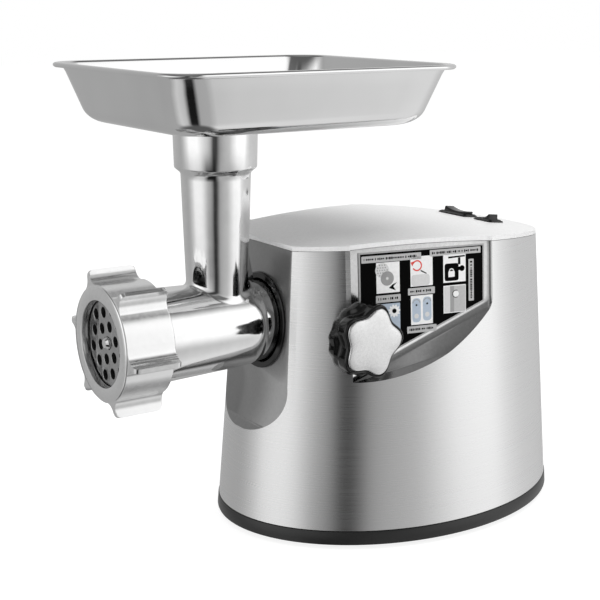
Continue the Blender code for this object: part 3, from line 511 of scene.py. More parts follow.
def shaped(base, *steps, bevel=0.0, bevel_angle=40):
    """The base after boolean steps of (operation, tool) and a small bevel. The tools are removed."""
    for operation, tool in steps:
        modifier = base.modifiers.new(operation.lower(), "BOOLEAN")
        modifier.operation = operation
        modifier.object = tool
        modifier.solver = "EXACT"
    if bevel:
        rounding = base.modifiers.new("edges", "BEVEL")
        rounding.width = bevel
        rounding.segments = 3
        rounding.limit_method = "ANGLE"
        rounding.angle_limit = math.radians(bevel_angle)
    old = base.data
    base.data = evaluated_mesh(base)
    base.data.name = base.name
    base.modifiers.clear()
    bpy.data.meshes.remove(old)
    for _, tool in steps:
        bpy.data.objects.remove(tool, do_unlink=True)
    return base


def cut(*tools):
    return [("DIFFERENCE", tool) for tool in tools]


def smooth(thing, crease=30):
    thing.data.shade_smooth()
    thing.data.set_sharp_from_angle(angle=math.radians(crease))


def true_normals(thing, surfaces):
    """Gives points on known curved surfaces that surface's own normal."""
    mesh = thing.data
    normals = [tuple(n.vector) for n in mesh.corner_normals]
    for face in mesh.polygons:
        for index in face.loop_indices:
            point = mesh.vertices[mesh.loops[index].vertex_index].co
            for surface in surfaces:
                distance, normal = surface(point)
                if abs(distance) < 4e-5 and abs(normal.dot(face.normal)) > 0.8:
                    normals[index] = tuple(normal if normal.dot(face.normal) > 0 else -normal)
                    break
    mesh.normals_split_custom_set(normals)


def show(thing, look, body, slot, *nodes):
    """Gives the piece its material, puts it on the body it rides on, and hides the CAD nodes it stands for.
    """
    thing.data.materials.append(LOOKS[look])
    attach(thing, body)
    if nodes:
        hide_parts(*nodes)
    return thing


def steel_edge(thing):
    """The faces that lie on the housing's outer surface look like the shell."""
    thing.data.materials.append(LOOKS["brushed_side"])
    outer = oval_surface(BODY_INSET)
    for face in thing.data.polygons:
        distance, _ = outer(face.center)
        if distance > -0.0002:
            face.material_index = 1


def show_wall(thing, look, slot, node, *surfaces):
    """Shows a part of the housing, smooth on its outer wall and on the other surfaces given."""
    smooth(thing)
    true_normals(thing, [*surfaces, oval_surface(BODY_INSET)])
    show(thing, look, "housing", slot, node)


# ---- housing


def crown_z(x):
    return CROWN_Z - CROWN_FALL * (x - CROWN_X) ** 2


def crown_surface(point):
    normal = Vector((2 * CROWN_FALL * (point.x - CROWN_X), 0, 1)).normalized()
    return (point.z - crown_z(point.x)) * normal.z, normal


def oval_axes(z, inset):
    shrink = DRAFT * (z - FOOT_H) + inset
    return BODY_A - shrink, BODY_B - shrink


def oval_surface(inset):
    def surface(point):
        a, b = oval_axes(point.z, inset)
        x = (point.x - BODY_X) / a
        y = point.y / b
        normal = Vector((x / a, y / b, 0)).normalized()
        return (math.hypot(x, y) - 1) * b, Vector((normal.x, normal.y, DRAFT)).normalized()

    return surface


def oval_ring(z, inset):
    a, b = oval_axes(z, inset)
    return [(BODY_X + a * math.cos(t), b * math.sin(t), z) for t in circle_turns(240)]


def oval_solid(name, inset, low, high):
    return skinned(name, [oval_ring(low, inset), oval_ring(high, inset)])


def crown_block(name, upper_drop, lower_drop):
    """A block between two drops below the crown, or reaching far above it if upper_drop is None."""
    xs = [BODY_X - 0.15 + 0.3 * i / 60 for i in range(61)]
    lower = [(x, crown_z(x) - lower_drop) for x in xs]
    if upper_drop is None:
        upper = [(xs[-1], 0.26), (xs[0], 0.26)]
    else:
        upper = [(x, crown_z(x) - upper_drop) for x in reversed(xs)]
    return prism(name, lower + upper, -0.12, 0.12, (0, 0, 0), NEAR)


def front_x(z):
    """Where the leaning front's surface is at a height."""
    return SCOOP_FOOT_X + SCOOP_LEAN * z


def scoop_block(name, inset):
    """Everything in front of the front's surface, moved into the housing by the inset."""
    bend_x = front_x(SCOOP_Z) + inset
    arc_r = SCOOP_R + inset
    outline = [(-0.2, 0.25), (front_x(0.25) + inset, 0.25)]
    for i in range(41):
        turn = math.radians(60) * i / 40
        outline.append((bend_x - arc_r * (1 - math.cos(turn)), SCOOP_Z - arc_r * math.sin(turn)))
    outline.append((-0.2, outline[-1][1]))
    return prism(name, outline, -0.12, 0.12, (0, 0, 0), NEAR)


def panel_frame(side):
    """(origin, axes) of a panel: local X along it, Y up it and Z out of it."""
    sin_yaw, cos_yaw = math.sin(PANEL_YAW), math.cos(PANEL_YAW)
    sin_lean, cos_lean = math.sin(PANEL_LEAN), math.cos(PANEL_LEAN)
    along = (-side * cos_yaw, -sin_yaw, 0)
    up = (sin_yaw * sin_lean, -side * cos_yaw * sin_lean, cos_lean)
    out = (-sin_yaw * cos_lean, side * cos_yaw * cos_lean, sin_lean)
    return Vector((PANEL_X, side * PANEL_Y, PANEL_Z)), Matrix((along, up, out)).transposed()


def recess_ring(side, height, inset, spread):
    """The outline of a panel's recess at a height above its floor, its walls moved out by the spread."""
    left = PANEL_LEFT - inset - 0.1 * max(spread, 0.0)
    right = PANEL_RIGHT + inset + spread
    drop = 1.08 * (inset + spread)
    corner = Vector((right, PANEL_LOW + PANEL_SLOPE * (PANEL_RIGHT + inset) - drop))
    low_left = Vector((left, PANEL_LOW + PANEL_SLOPE * left - drop))
    upper = corner + Vector((0, 0.006))
    lower = corner + (low_left - corner).normalized() * 0.006
    outline = [Vector((left, 0.03)), Vector((right, 0.03))]
    for k in range(7):
        t = k / 6
        outline.append(upper * (1 - t) ** 2 + corner * (2 * t * (1 - t)) + lower * t**2)
    outline.append(low_left)
    return [(-side * point.x, point.y, height) for point in outline]


def recess_block(name, side, inset, rounding=0.0):
    """The space above a side panel, grown by the inset: a flat floor that curves into sloping walls."""
    reach = 0.016
    rings = [recess_ring(side, -inset, inset, -1.2 * rounding)]
    if rounding:
        for k in range(1, 7):
            t = k / 6
            rings.append(recess_ring(side, rounding * t**2, inset, rounding * (t**2 - 1.2 * (1 - t) ** 2)))
    rings.append(recess_ring(side, reach, inset, reach + inset))
    origin, axes = panel_frame(side)
    return skinned(name, [placed(ring, origin, axes) for ring in rings])


def stud_cutter():
    return disc_cutter("cut_stud", 0.009, 0.06, (KNOB_X, -0.04, AXIS_Z), NEAR)


def cover_cutter():
    return crown_block("cut_above", None, COVER_T + GAP)


def hollow_cutter():
    return oval_solid("cut_hollow", BODY_INSET + SHELL_WALL, -0.01, 0.25)


def make_shell():
    shell = oval_solid("housing_shell_skin", BODY_INSET, WALL_LOW, 0.23)
    shaped(
        shell,
        *cut(
            hollow_cutter(),
            scoop_block("cut_scoop", FRONT_T + GAP),
            cover_cutter(),
            block("cut_behind", (0.1, 0.24, 0.3), (REAR_X + 0.05, 0, 0.12)),
            recess_block("cut_near", -1, PANEL_T + GAP),
            recess_block("cut_far", 1, PANEL_T + GAP),
            stud_cutter(),
        ),
        bevel=0.00025,
    )
    show_wall(shell, "brushed_side", "brushed_side", "housing_shell")


def make_front():
    front = scoop_block("front_skin", FRONT_T + GAP)
    shaped(
        front,
        ("INTERSECT", oval_solid("cut_body", BODY_INSET, 0.0, 0.24)),
        *cut(
            scoop_block("cut_scoop", 0.0),
            cover_cutter(),
            disc_cutter("cut_port", PORT_R, 0.06, (NECK_X + 0.07, 0, AXIS_Z), OUTLET, 96),
        ),
        bevel=0.0005,
    )
    show_wall(front, "grey_front", "grey_front", "front_plate")
    steel_edge(front)


def make_rear():
    rear = oval_solid("rear_skin", BODY_INSET, WALL_LOW, 0.23)
    vent = soften(rectangle(-0.025, 0.025, -0.00225, 0.00225), 0.002)
    vents = []
    for row in range(VENT_ROWS):
        vent_at = (REAR_X + 0.030, 0, VENT_Z + VENT_PITCH * row)
        vents.append(prism(f"cut_vent_{row}", vent, -0.025, 0.025, vent_at, ALONG_X))
    shaped(
        rear,
        *cut(
            hollow_cutter(),
            cover_cutter(),
            block("cut_ahead", (0.3, 0.24, 0.3), (REAR_X + GAP - 0.15, 0, 0.12)),
            disc_cutter("cut_gland", 0.0065, 0.05, (0.19, 0, GLAND_Z), OUTLET),
            *vents,
        ),
        bevel=0.0003,
    )
    show_wall(rear, "rear_silver", "silver_plastic", "rear_cover")


def make_cover():
    cover = oval_solid("cover_skin", BODY_INSET, 0.16, 0.23)
    holes = []
    for name, middle_y, half_y, _ in SWITCHES:
        size = (2 * SWITCH_HALF_X - 0.0015, 2 * half_y - 0.003, 0.04)
        holes.append(block(f"cut_{name}", size, switch_place(middle_y, 0), SWITCH_AXES))
    shaped(
        cover,
        ("INTERSECT", crown_block("cut_slab", 0.0, COVER_T)),
        *cut(
            scoop_block("cut_scoop", 0.0),
            recess_block("cut_near", -1, 0.0, RECESS_ROUND),
            recess_block("cut_far", 1, 0.0, RECESS_ROUND),
            *holes,
        ),
        bevel=0.0006,
    )
    show_wall(cover, "top_silver", "silver_plastic", "top_cover", crown_surface)


def make_panels():
    """Sloping dishes on both sides. The near one has the stud's hole."""
    for side, word in ((-1, "near"), (1, "far")):
        body = oval_solid("cut_body", BODY_INSET, 0.0, 0.23)
        shaped(body, *cut(cover_cutter()))
        panel = recess_block(f"panel_{word}_skin", side, PANEL_T + GAP)
        shaped(panel, ("INTERSECT", body))
        cutters = [recess_block("cut_recess", side, 0.0, RECESS_ROUND)]
        if side < 0:
            cutters.append(stud_cutter())
        shaped(panel, *cut(*cutters), bevel=0.0004)
        show_wall(panel, "silver_plastic", "silver_plastic", f"side_panel_{word}")
        steel_edge(panel)


def make_base():
    """A shallow black tub with a rounded skirt, slots under the motor and holes for the foot screws."""
    top = FOOT_H + BASE_H
    profile = (
        (0.0012, FOOT_H), (0.0004, FOOT_H + 0.0004), (0.0, FOOT_H + 0.0012), (0.0, top - 0.0010),
        (0.0003, top - 0.0003), (0.0010, top), (0.0022, top),
    )
    base = skinned("base_skin", [oval_ring(z, inset) for inset, z in profile])
    lip = oval_solid("cut_lip", BODY_INSET + SHELL_WALL + GAP, FOOT_H + 0.005, top + 0.006)
    cutters = [oval_solid("cut_hollow", 0.0045, FOOT_H + 0.003, 0.05)]
    for row in range(SLOT_COUNT):
        slot_at = (BODY_X + SLOT_PITCH * (row - (SLOT_COUNT - 1) / 2), 0, FOOT_H)
        cutters.append(block(f"cut_slot_{row}", (0.003, 0.070, 0.02), slot_at))
    for x, y in [(sx * FOOT_DX, sy * FOOT_DY) for sx in (-1, 1) for sy in (-1, 1)]:
        cutters.append(disc_cutter("cut_hole", 0.0021, 0.02, (BODY_X + x, y, -0.002), UP, 16))
    shaped(base, ("UNION", lip), *cut(*cutters))
    smooth(base)
    show(base, "base_black", "housing", "black_plastic", "base")


def make_port_ring():
    """A black collar whose flange follows the lean of the front and whose tube is level."""
    profile = (
        (0.0284, True, -0.0012), (0.0290, True, -0.0018), (0.0320, True, -0.0018), (0.0326, True, -0.0012),
        (0.0326, True, -GAP), (0.0306, True, -GAP), (0.0306, False, -0.0415), (0.0284, False, -0.0415),
    )
    rings = []
    for radius, leaning, offset in profile:
        ring = [(y, AXIS_Z + up) for up, y in disc(0, 0, radius, 96)]
        rings.append([(offset + (front_x(z) if leaning else 0.0), y, z) for y, z in ring])
    collar = skinned("port_ring_skin", rings, loop=True)
    smooth(collar)
    show(collar, "black_plastic", "housing", "black_plastic", "port_ring")


# ---- label


def round_rectangle(left, right, low, high, radius):
    return soften(rectangle(left, right, low, high), radius, steps=3)


def arc_band(x, y, inner, outer, start, end, count=20):
    turns = [math.radians(start + (end - start) * i / count) for i in range(count + 1)]
    points = [(x + outer * math.cos(t), y + outer * math.sin(t)) for t in turns]
    return points + [(x + inner * math.cos(t), y + inner * math.sin(t)) for t in reversed(turns)]


def gear_mark(x, y, radius, teeth):
    points = []
    for i in range(teeth * 4):
        turn = 2 * math.pi * i / (teeth * 4)
        r = radius if i % 4 < 2 else radius * 0.78
        points.append((x + r * math.cos(turn), y + r * math.sin(turn)))
    return points


def bar_marks(left, right, low, high, upright=False):
    """A pale bar with a row of short dark dashes in it, standing for a caption."""
    marks = [("bar", 1, round_rectangle(left, right, low, high, 0.5))]
    dice = random.Random(round(left * 10 + low))
    middle = (left + right) / 2 if upright else (low + high) / 2
    reach = ((high - low) if upright else (right - left)) / 2 - 1.6
    centre = (low + high) / 2 if upright else (left + right) / 2
    at = centre - reach
    while at < centre + reach - 1.0:
        length = dice.uniform(0.5, 1.3)
        tall = dice.choice((0.55, 0.8))
        along = (at, at + length)
        across = (middle - tall, middle + tall)
        marks.append(("black", 2, rectangle(*across, *along) if upright else rectangle(*along, *across)))
        at += length + dice.choice((0.35, 0.35, 0.35, 1.1))
    return marks


def label_marks():
    """Plain pictograms and bars, as (ink, layer, outline) in millimetres on the panel."""
    marks = []
    for bar in (
        (-44, -0.5, -11.3, -6.8), (6, 44.5, -10.3, -6.0), (-34, -16, -38.2, -33.4),
        (-10.5, 9.5, -35.0, -30.4), (-11.5, 10.5, -60.6, -56.0),
    ):
        marks += bar_marks(*bar)
    marks += bar_marks(35.2, 39.2, -42.5, -14.0, upright=True)
    for field in (
        (-33.5, -16.5, -32.0, -11.7), (-8.5, 8.0, -29.4, -9.4), (16.0, 33.0, -28.8, -9.9),
        (-8.5, 7.8, -55.2, -35.6), (16.0, 33.0, -49.5, -30.8),
    ):
        marks.append(("white", 1, rectangle(*field)))
    marks.append(("blue", 1, rectangle(-33.5, -16.5, -60.0, -39.2)))
    # Cutting plate and blade.
    marks.append(("pale", 2, disc(-29.2, -16.8, 5.0)))
    for row in range(5):
        for column in range(5):
            x, y = -32.8 + 1.8 * column + 0.5 * (row % 2), -20.2 + 1.7 * row
            if math.hypot(x + 29.2, y + 16.8) < 4.2:
                marks.append(("grey", 3, disc(x, y, 0.5, 8)))
    marks += [
        ("grey", 3, disc(-25.6, -22.4, 4.8)),
        ("pale", 4, disc(-25.6, -22.4, 1.0, 12)),
        ("black", 2, [(-24.5, -28.8), (-21.8, -26.6), (-18.6, -25.4), (-21.2, -28.0), (-19.4, -30.8)]),
        # Reverse arrow over a rounded body.
        ("red", 3, arc_band(-3.6, -15.6, 2.8, 3.7, -150, 150)),
        ("red", 3, [(-8.4, -13.2), (-5.6, -12.6), (-7.0, -15.8)]),
        ("pale", 2, round_rectangle(-8.0, 5.8, -29.2, -21.6, 2.4)),
        ("black", 4, [(-1.2, -19.4), (3.2, -21.6), (3.5, -21.0), (-0.8, -18.6)]),
        # Machine outline with a padlock.
        ("black", 2, round_rectangle(17.0, 27.6, -27.8, -16.0, 1.8)),
        ("black", 2, [(20.0, -12.6), (32.4, -12.0), (32.4, -11.0), (19.6, -11.4)]),
        ("black", 2, [(27.2, -12.4), (29.0, -12.3), (29.0, -17.2), (27.2, -17.0)]),
        ("black", 2, disc(30.2, -19.8, 2.0, 16)),
        ("black", 2, rectangle(27.0, 31.0, -21.0, -18.6)),
        ("white", 3, round_rectangle(19.8, 24.6, -25.2, -21.2, 0.5)),
        ("white", 3, arc_band(22.2, -21.2, 1.2, 1.9, 0, 180, 10)),
        # Gear.
        ("white", 2, gear_mark(-20.8, -44.4, 4.4, 11)),
        ("black", 3, disc(-20.8, -44.4, 1.6, 14)),
    ]
    # Two gearbox halves.
    for x, low, high in ((-4.4, -53.6, -37.4), (3.6, -53.0, -36.9)):
        marks += [
            ("blue", 2, round_rectangle(x - 3.2, x + 3.2, low, high, 2.8)),
            ("pale", 3, disc(x, low + 4.2, 1.7, 16)),
            ("black", 4, disc(x, high - 4.6, 0.7, 10)),
            ("grey", 3, arc_band(x, high - 3.6, 2.4, 2.9, 10, 170, 12)),
        ]
    # Housing with a lock knob.
    for left, right, ink in ((16.4, 21.0, "pale"), (21.0, 24.0, "grey"), (24.0, 32.6, "bar")):
        marks.append((ink, 2, rectangle(left, right, -49.0, -31.4)))
    marks.append(("white", 3, disc(25.4, -36.8, 2.2, 18)))
    marks.append(("black", 4, arc_band(25.4, -36.8, 2.2, 2.7, 60, 300, 12)))
    return marks


def add_layer(work, outline, low, high, material_index):
    """A thin flat shape between two heights."""
    before = set(work.faces)
    add_skin(work, [lifted(outline, low), lifted(outline, high)])
    for face in set(work.faces) - before:
        face.material_index = material_index


def label_outline(inset):
    left, right, top = LABEL_LEFT + inset, LABEL_RIGHT - inset, LABEL_TOP - inset
    raise_by = LABEL_RAISE + inset * math.hypot(1, PANEL_SLOPE)
    low = [(x, PANEL_LOW + raise_by + PANEL_SLOPE * x) for x in (left, right)]
    return [(left, top), *low, (right, top)]


def make_label():
    """The label's border, its black field, and thin printed shapes on it."""
    origin, axes = panel_frame(-1)
    work = bmesh.new()
    inks = ["border", "black"]
    field = LABEL_T - 0.00015
    add_layer(work, label_outline(0.0), 0.0, field - 0.00002, 0)
    add_layer(work, label_outline(0.0011), field - 0.00001, field + 0.00003, 1)
    for ink, layer, outline in label_marks():
        if ink not in inks:
            inks.append(ink)
        low = field + 0.00003 * layer + 0.000002
        points = [(x / 1000, y / 1000) for x, y in outline]
        add_layer(work, points, low, low + 0.000026, inks.index(ink))
    for vert in work.verts:
        vert.co = origin + axes @ (vert.co + Vector((0, 0, GAP)))
    label = object_from("label_print", work)
    show(label, "label_border", "housing", "label_black", "label_plate")
    for ink in inks[1:]:
        label.data.materials.append(LOOKS[f"label_{ink}"])


# ---- switches


SWITCH_AXES = Matrix.Rotation(SWITCH_LEAN, 3, "Y")


def switch_place(place_y, lift):
    x = SWITCH_X + lift * math.sin(SWITCH_LEAN)
    return (x, place_y, crown_z(SWITCH_X) + lift * math.cos(SWITCH_LEAN))


def make_switch_frame(name, place_y, half_y):
    """A flange with a sloping skirt round a raised wall, over a hollow body."""
    profile = (
        (0.0, 0.0), (0.0001, 0.0005), (0.0014, 0.0013), (0.0018, 0.0016), (0.0023, 0.0016),
        (0.0023, -0.0130), (0.0014, -0.0142), (0.0014, -0.0001),
    )
    rings = []
    for inset, height in profile:
        half_x, reach = SWITCH_HALF_X - inset, half_y - inset
        outline = soften(rectangle(-half_x, half_x, -reach, reach), 0.0026 - 0.6 * inset, steps=5)
        rings.append(placed(lifted(outline, height), switch_place(place_y, GAP), SWITCH_AXES))
    frame = skinned(f"{name}_flange", rings, loop=True)
    smooth(frame)
    show(frame, "black_plastic", "housing", "black_plastic", f"{name}_frame")


def make_rocker(name, place_y, half_y, lean):
    """A glossy rocker with a hollow top, leaning over on a pivot along X."""
    reach = half_y - 0.0044
    far_h, near_h = ROCKER_ENDS[name]
    dip = 0.0014
    top = []
    for i in range(21):
        share = 1 - 2 * i / 20
        height = (far_h + near_h) / 2 + (far_h - near_h) / 2 * share - dip * (1 - share**2)
        top.append((reach * share, height))
    outline = [(-0.0030, -0.0030), (0.0030, -0.0030), (reach, 0.0012)]
    outline = soften([*outline, top[0]], 0.0006, closed=False) + top[1:-1]
    outline += soften([top[-1], (-reach, 0.0012), (-0.0030, -0.0030)], 0.0006, closed=False)[:-1]
    tilt = Matrix.Rotation(math.radians(lean), 2)
    tilted = [tuple(tilt @ Vector(point)) for point in outline]
    half_w = SWITCH_HALF_X - 0.0026
    across = SWITCH_AXES @ ALONG_X
    start = switch_place(place_y, -PIVOT_DROP)
    rocker = prism(f"{name}_rocker_skin", tilted, -half_w, half_w, start, across)
    shaped(rocker, bevel=0.0007, bevel_angle=50)
    smooth(rocker)
    show(rocker, "black_plastic", name, "black_plastic", f"{name}_rocker")


# ---- head, nut and plate


def barrel_radius(distance):
    """The barrel's outer radius at a distance along the outlet direction, between its tail and mouth."""
    return min(0.031, 0.0292 + 0.0321 * (distance + 0.010))


def barrel_top(x, y):
    radius = barrel_radius(NECK_X - x)
    return AXIS_Z + math.sqrt(radius**2 - y**2)


def make_barrel():
    """A turned profile: three thread ridges, the barrel and its tail outside, and the bore inside."""
    ridge_shape = ((0.0, 0.0009), (0.2, 0.0001), (0.3, 0.0), (0.6, 0.0), (0.7, 0.0001), (0.9, 0.0009))
    outer = []
    for ridge in range(3):
        start = MOUTH_END - THREAD_PITCH * ridge
        for share, depth in ridge_shape:
            outer.append((THREAD_R - depth, start - share * THREAD_PITCH))
    outer += [(0.031, 0.0575), (0.031, 0.046), (0.0292, -0.010), (0.0290, -0.0145)]
    outer += [(0.0286, -0.0180), (0.0280, -0.0205), (0.0274, -0.0222), (0.0273, -0.0235), (0.0273, -0.0695)]
    outer += [(0.0268, -0.070), (0.0083, -0.070), (0.0083, -0.058), (0.026, -0.058)]
    outer += [(0.026, 0.0675), (0.0316, 0.0675), (0.0316, MOUTH_END)]
    rings = [placed(lifted(disc(0, 0, radius, 128), height), HEAD_AT, OUTLET) for radius, height in outer]
    return skinned("head_casting", rings, loop=True)


def neck_foot(t, share):
    """A point of the fillet at an angle, its share of the way from the neck out onto the barrel."""
    across, along = math.cos(t), math.sin(t)
    out_r = NECK_FOOT_R + NECK_FILLET
    meet = barrel_top(NECK_X + NECK_FOOT_R * across, NECK_FOOT_R * along)
    out_z = barrel_top(NECK_X + out_r * across, out_r * along) - 0.0002
    radius = NECK_FOOT_R * (1 - share**2) + out_r * share**2
    height = (meet + NECK_FILLET) * (1 - share) ** 2 + meet * 2 * share * (1 - share) + out_z * share**2
    return (NECK_X + radius * across, radius * along, height)


def make_neck():
    """The feed neck: a collar, a taper, and a fillet that runs out over the barrel."""
    walls = (
        (THROAT_R, 0.190), (0.0200, 0.2520), (0.0251, 0.2575), (0.0251, NECK_TOP_Z - 0.0005),
        (0.0256, NECK_TOP_Z), (0.0268, NECK_TOP_Z), (0.0274, NECK_TOP_Z - 0.0003),
        (0.0276, NECK_TOP_Z - 0.0010), (0.0270, 0.2540), (0.02685, 0.2533), (0.0262, 0.2526),
        (0.0246, 0.2513), (0.0234, 0.2503), (0.0229, 0.2490), (0.0228, 0.2460), (0.0217, 0.2110),
        (0.0208, 0.1850),
    )
    rings = [lifted(disc(NECK_X, 0, radius, 128), height) for radius, height in walls]
    turns = circle_turns(128)
    rings += [[neck_foot(t, k / 8) for t in turns] for k in range(9)]
    throat = disc(NECK_X, 0, THROAT_R, 128)
    rings.append([(x, y, AXIS_Z + math.sqrt(0.0275**2 - y**2)) for x, y in throat])
    return skinned("cut_neck", rings, loop=True)


def make_head():
    head = make_barrel()
    web = [(NECK_X + 0.015, 0.165), (NECK_X + 0.027, 0.165), (NECK_X + 0.027, 0.176)]
    web += [(NECK_X + 0.0205, 0.208), (NECK_X + 0.015, 0.208)]
    rib = prism("cut_web", soften(web, 0.0012), -0.002, 0.002, (0, 0, 0), NEAR)
    throat = disc_cutter("cut_throat", THROAT_R, 0.06, (NECK_X, 0, AXIS_Z + 0.002), UP, 128)
    shaped(head, ("UNION", make_neck()), ("UNION", rib), ("DIFFERENCE", throat))
    smooth(head, 34)
    show(head, "cast_aluminium", "head", "cast_aluminium", "grinding_head")


def nut_outline(steps=14):
    """A round body with six thin wings that flare into it."""
    points = []
    height = WING_R - NUT_R
    for wing in range(WING_COUNT):
        centre = WING_START + 2 * math.pi * wing / WING_COUNT
        side = []
        for i in range(steps + 1):
            share = i / steps
            radius = NUT_R - 0.0002 + (height + 0.0002) * share**1.4
            half_w = 0.0015 + 0.0062 * (1 - share) ** 2.6
            side.append((radius, half_w / radius))
        tip = side[-1][1]
        tips = [(WING_R + 0.0002, tip * share) for share in (0.6, 0.2)]
        around = [(r, -t) for r, t in side + tips] + [(r, t) for r, t in reversed(side + tips)]
        points += [(r * math.cos(centre + t), r * math.sin(centre + t)) for r, t in around]
        root = side[0][1]
        for i in range(1, 8):
            turn = centre + root + (2 * math.pi / WING_COUNT - 2 * root) * i / 8
            points.append((NUT_R * math.cos(turn), NUT_R * math.sin(turn)))
    return points


def moved_in(outline, inset):
    """The outline with each point moved inwards along its normal."""
    result = []
    count = len(outline)
    for i, point in enumerate(outline):
        along = Vector(outline[(i + 1) % count]) - Vector(outline[i - 1])
        normal = Vector((along.y, -along.x)).normalized()
        result.append(tuple(Vector(point) - normal * inset))
    return result


def nut_reach(height):
    """How far out the nut may go at a height: its face is round, and its wings have rounded corners."""
    to_face = NUT_FACE - height
    if to_face < NUT_CHAMFER:
        return NUT_R - 0.0004 - 0.0009 * (1 - to_face / NUT_CHAMFER) ** 2
    to_end = min(height - NUT_BACK, to_face - NUT_CHAMFER)
    lost = WING_CORNER - math.sqrt(WING_CORNER**2 - max(0.0, WING_CORNER - to_end) ** 2)
    return WING_R - lost


def make_nut():
    """The ring nut: rings of one outline from back to face, and a hole with a lip."""
    outline = nut_outline()
    heights = [NUT_BACK + NUT_EDGE * (1 - math.cos(math.pi / 2 * k / 4)) for k in range(5)]
    heights += [NUT_BACK + 0.0006 * k for k in range(2, 8)]
    heights += [NUT_BACK + 0.006 + 0.0022 * k for k in range(11)]
    heights += [NUT_FACE - NUT_CHAMFER - 0.0004 * k for k in range(10, 0, -1)]
    heights += [NUT_FACE - NUT_CHAMFER, NUT_FACE - NUT_CHAMFER + 0.00005]
    heights += [NUT_FACE - NUT_CHAMFER * (1 - k / 5) for k in range(1, 6)]
    rings = []
    for height in heights:
        inset = NUT_EDGE * (1 - math.sqrt(max(0.0, 1 - max(0.0, 1 - (height - NUT_BACK) / NUT_EDGE) ** 2)))
        reach = nut_reach(height)
        ring = []
        for x, y in moved_in(outline, inset):
            scale = min(1.0, reach / math.hypot(x, y))
            ring.append((x * scale, y * scale, height))
        rings.append(ring)
    turns = [math.atan2(y, x) for x, y in outline]
    for radius, height in (
        (NUT_HOLE_R + 0.0006, NUT_FACE), (NUT_HOLE_R + 0.0002, NUT_FACE - 0.0002),
        (NUT_HOLE_R, NUT_FACE - 0.0007), (NUT_HOLE_R, NUT_FACE - 0.0046),
        (NUT_HOLE_R + 0.0004, NUT_FACE - 0.0050), (0.0346, NUT_FACE - 0.0050),
        (0.0346, NUT_BACK + 0.0006), (0.0352, NUT_BACK),
    ):
        rings.append([(radius * math.cos(t), radius * math.sin(t), height) for t in turns])
    nut = skinned("ring_nut_casting", [placed(ring, HEAD_AT, OUTLET) for ring in rings], loop=True)
    smooth(nut, 38)
    show(nut, "satin_aluminium", "nut", "cast_aluminium", "ring_nut")


def plate_holes():
    spots = []
    for i in range(6):
        turn = math.radians(46) + math.pi / 3 * i
        spots += [(HOLE_PITCH, turn), (2 * HOLE_PITCH, turn)]
        spots.append((math.sqrt(3) * HOLE_PITCH, turn + math.pi / 6))
    return [(r * math.cos(t), r * math.sin(t)) for r, t in spots]


def make_plate():
    """A flat curve with holes, its rims rounded, turned into a mesh."""
    outlines = [disc(0, 0, PLATE_R, 128), disc(0, 0, PLATE_BORE_R, 32)]
    outlines[1:1] = [disc(x, y, HOLE_R, 32) for x, y in plate_holes()]
    curve = bpy.data.curves.new("plate_curve", "CURVE")
    curve.dimensions = "2D"
    curve.fill_mode = "BOTH"
    curve.extrude = PLATE_T / 2 - PLATE_EDGE
    curve.bevel_depth = PLATE_EDGE
    curve.bevel_resolution = 2
    curve.offset = -PLATE_EDGE
    for outline in outlines:
        spline = curve.splines.new("POLY")
        spline.points.add(len(outline) - 1)
        for point, (x, y) in zip(spline.points, outline):
            point.co = (x, y, 0, 1)
        spline.use_cyclic_u = True
    flat = bpy.data.objects.new("plate_curve", curve)
    bpy.context.scene.collection.objects.link(flat)
    work = bmesh.new()
    work.from_mesh(evaluated_mesh(flat))
    bpy.data.objects.remove(flat, do_unlink=True)
    bmesh.ops.remove_doubles(work, verts=work.verts, dist=1e-7)
    back = Vector((NECK_X - PLATE_FRONT + PLATE_T, 0, AXIS_Z))
    for vert in work.verts:
        vert.co = back + OUTLET @ (vert.co + Vector((0, 0, PLATE_T / 2)))
    plate = object_from("cutting_plate_disc", work)
    smooth(plate)
    show(plate, "plate_steel", "plate", "gear_steel", "cutting_plate")
    # The walls of the holes and of the bore get a near-black material: painted shade inside the holes.
    plate.data.materials.append(LOOKS["hole_painted_shade"])
    for face in plate.data.polygons:
        from_axis = math.hypot(face.center.y, face.center.z - AXIS_Z)
        if abs(face.normal.x) < 0.5 and from_axis < PLATE_R - 0.001:
            face.material_index = 1


# ---- tray


def tray_outline(inset, z):
    """A rectangle with round corners, its points spread evenly enough for smooth walls."""
    centre_x = (TRAY_FRONT_X + TRAY_REAR_X) / 2
    half_x = (TRAY_REAR_X - TRAY_FRONT_X) / 2 - inset
    half_y = TRAY_HALF_Y - inset
    corner_steps, side_steps = 16, 10
    points = []
    for quarter, (sx, sy) in enumerate(((1, 1), (-1, 1), (-1, -1), (1, -1))):
        for i in range(corner_steps + 1):
            turn = math.pi / 2 * (quarter + i / corner_steps)
            x = sx * (half_x - TRAY_CORNER_R) + TRAY_CORNER_R * math.cos(turn)
            y = sy * (half_y - TRAY_CORNER_R) + TRAY_CORNER_R * math.sin(turn)
            points.append(Vector((centre_x + x, y, z)))
    result = []
    for i, point in enumerate(points):
        result.append(point)
        if i % (corner_steps + 1) == corner_steps:
            after = points[(i + 1) % len(points)]
            result += [point.lerp(after, k / (side_steps + 1)) for k in range(1, side_steps + 1)]
    return result


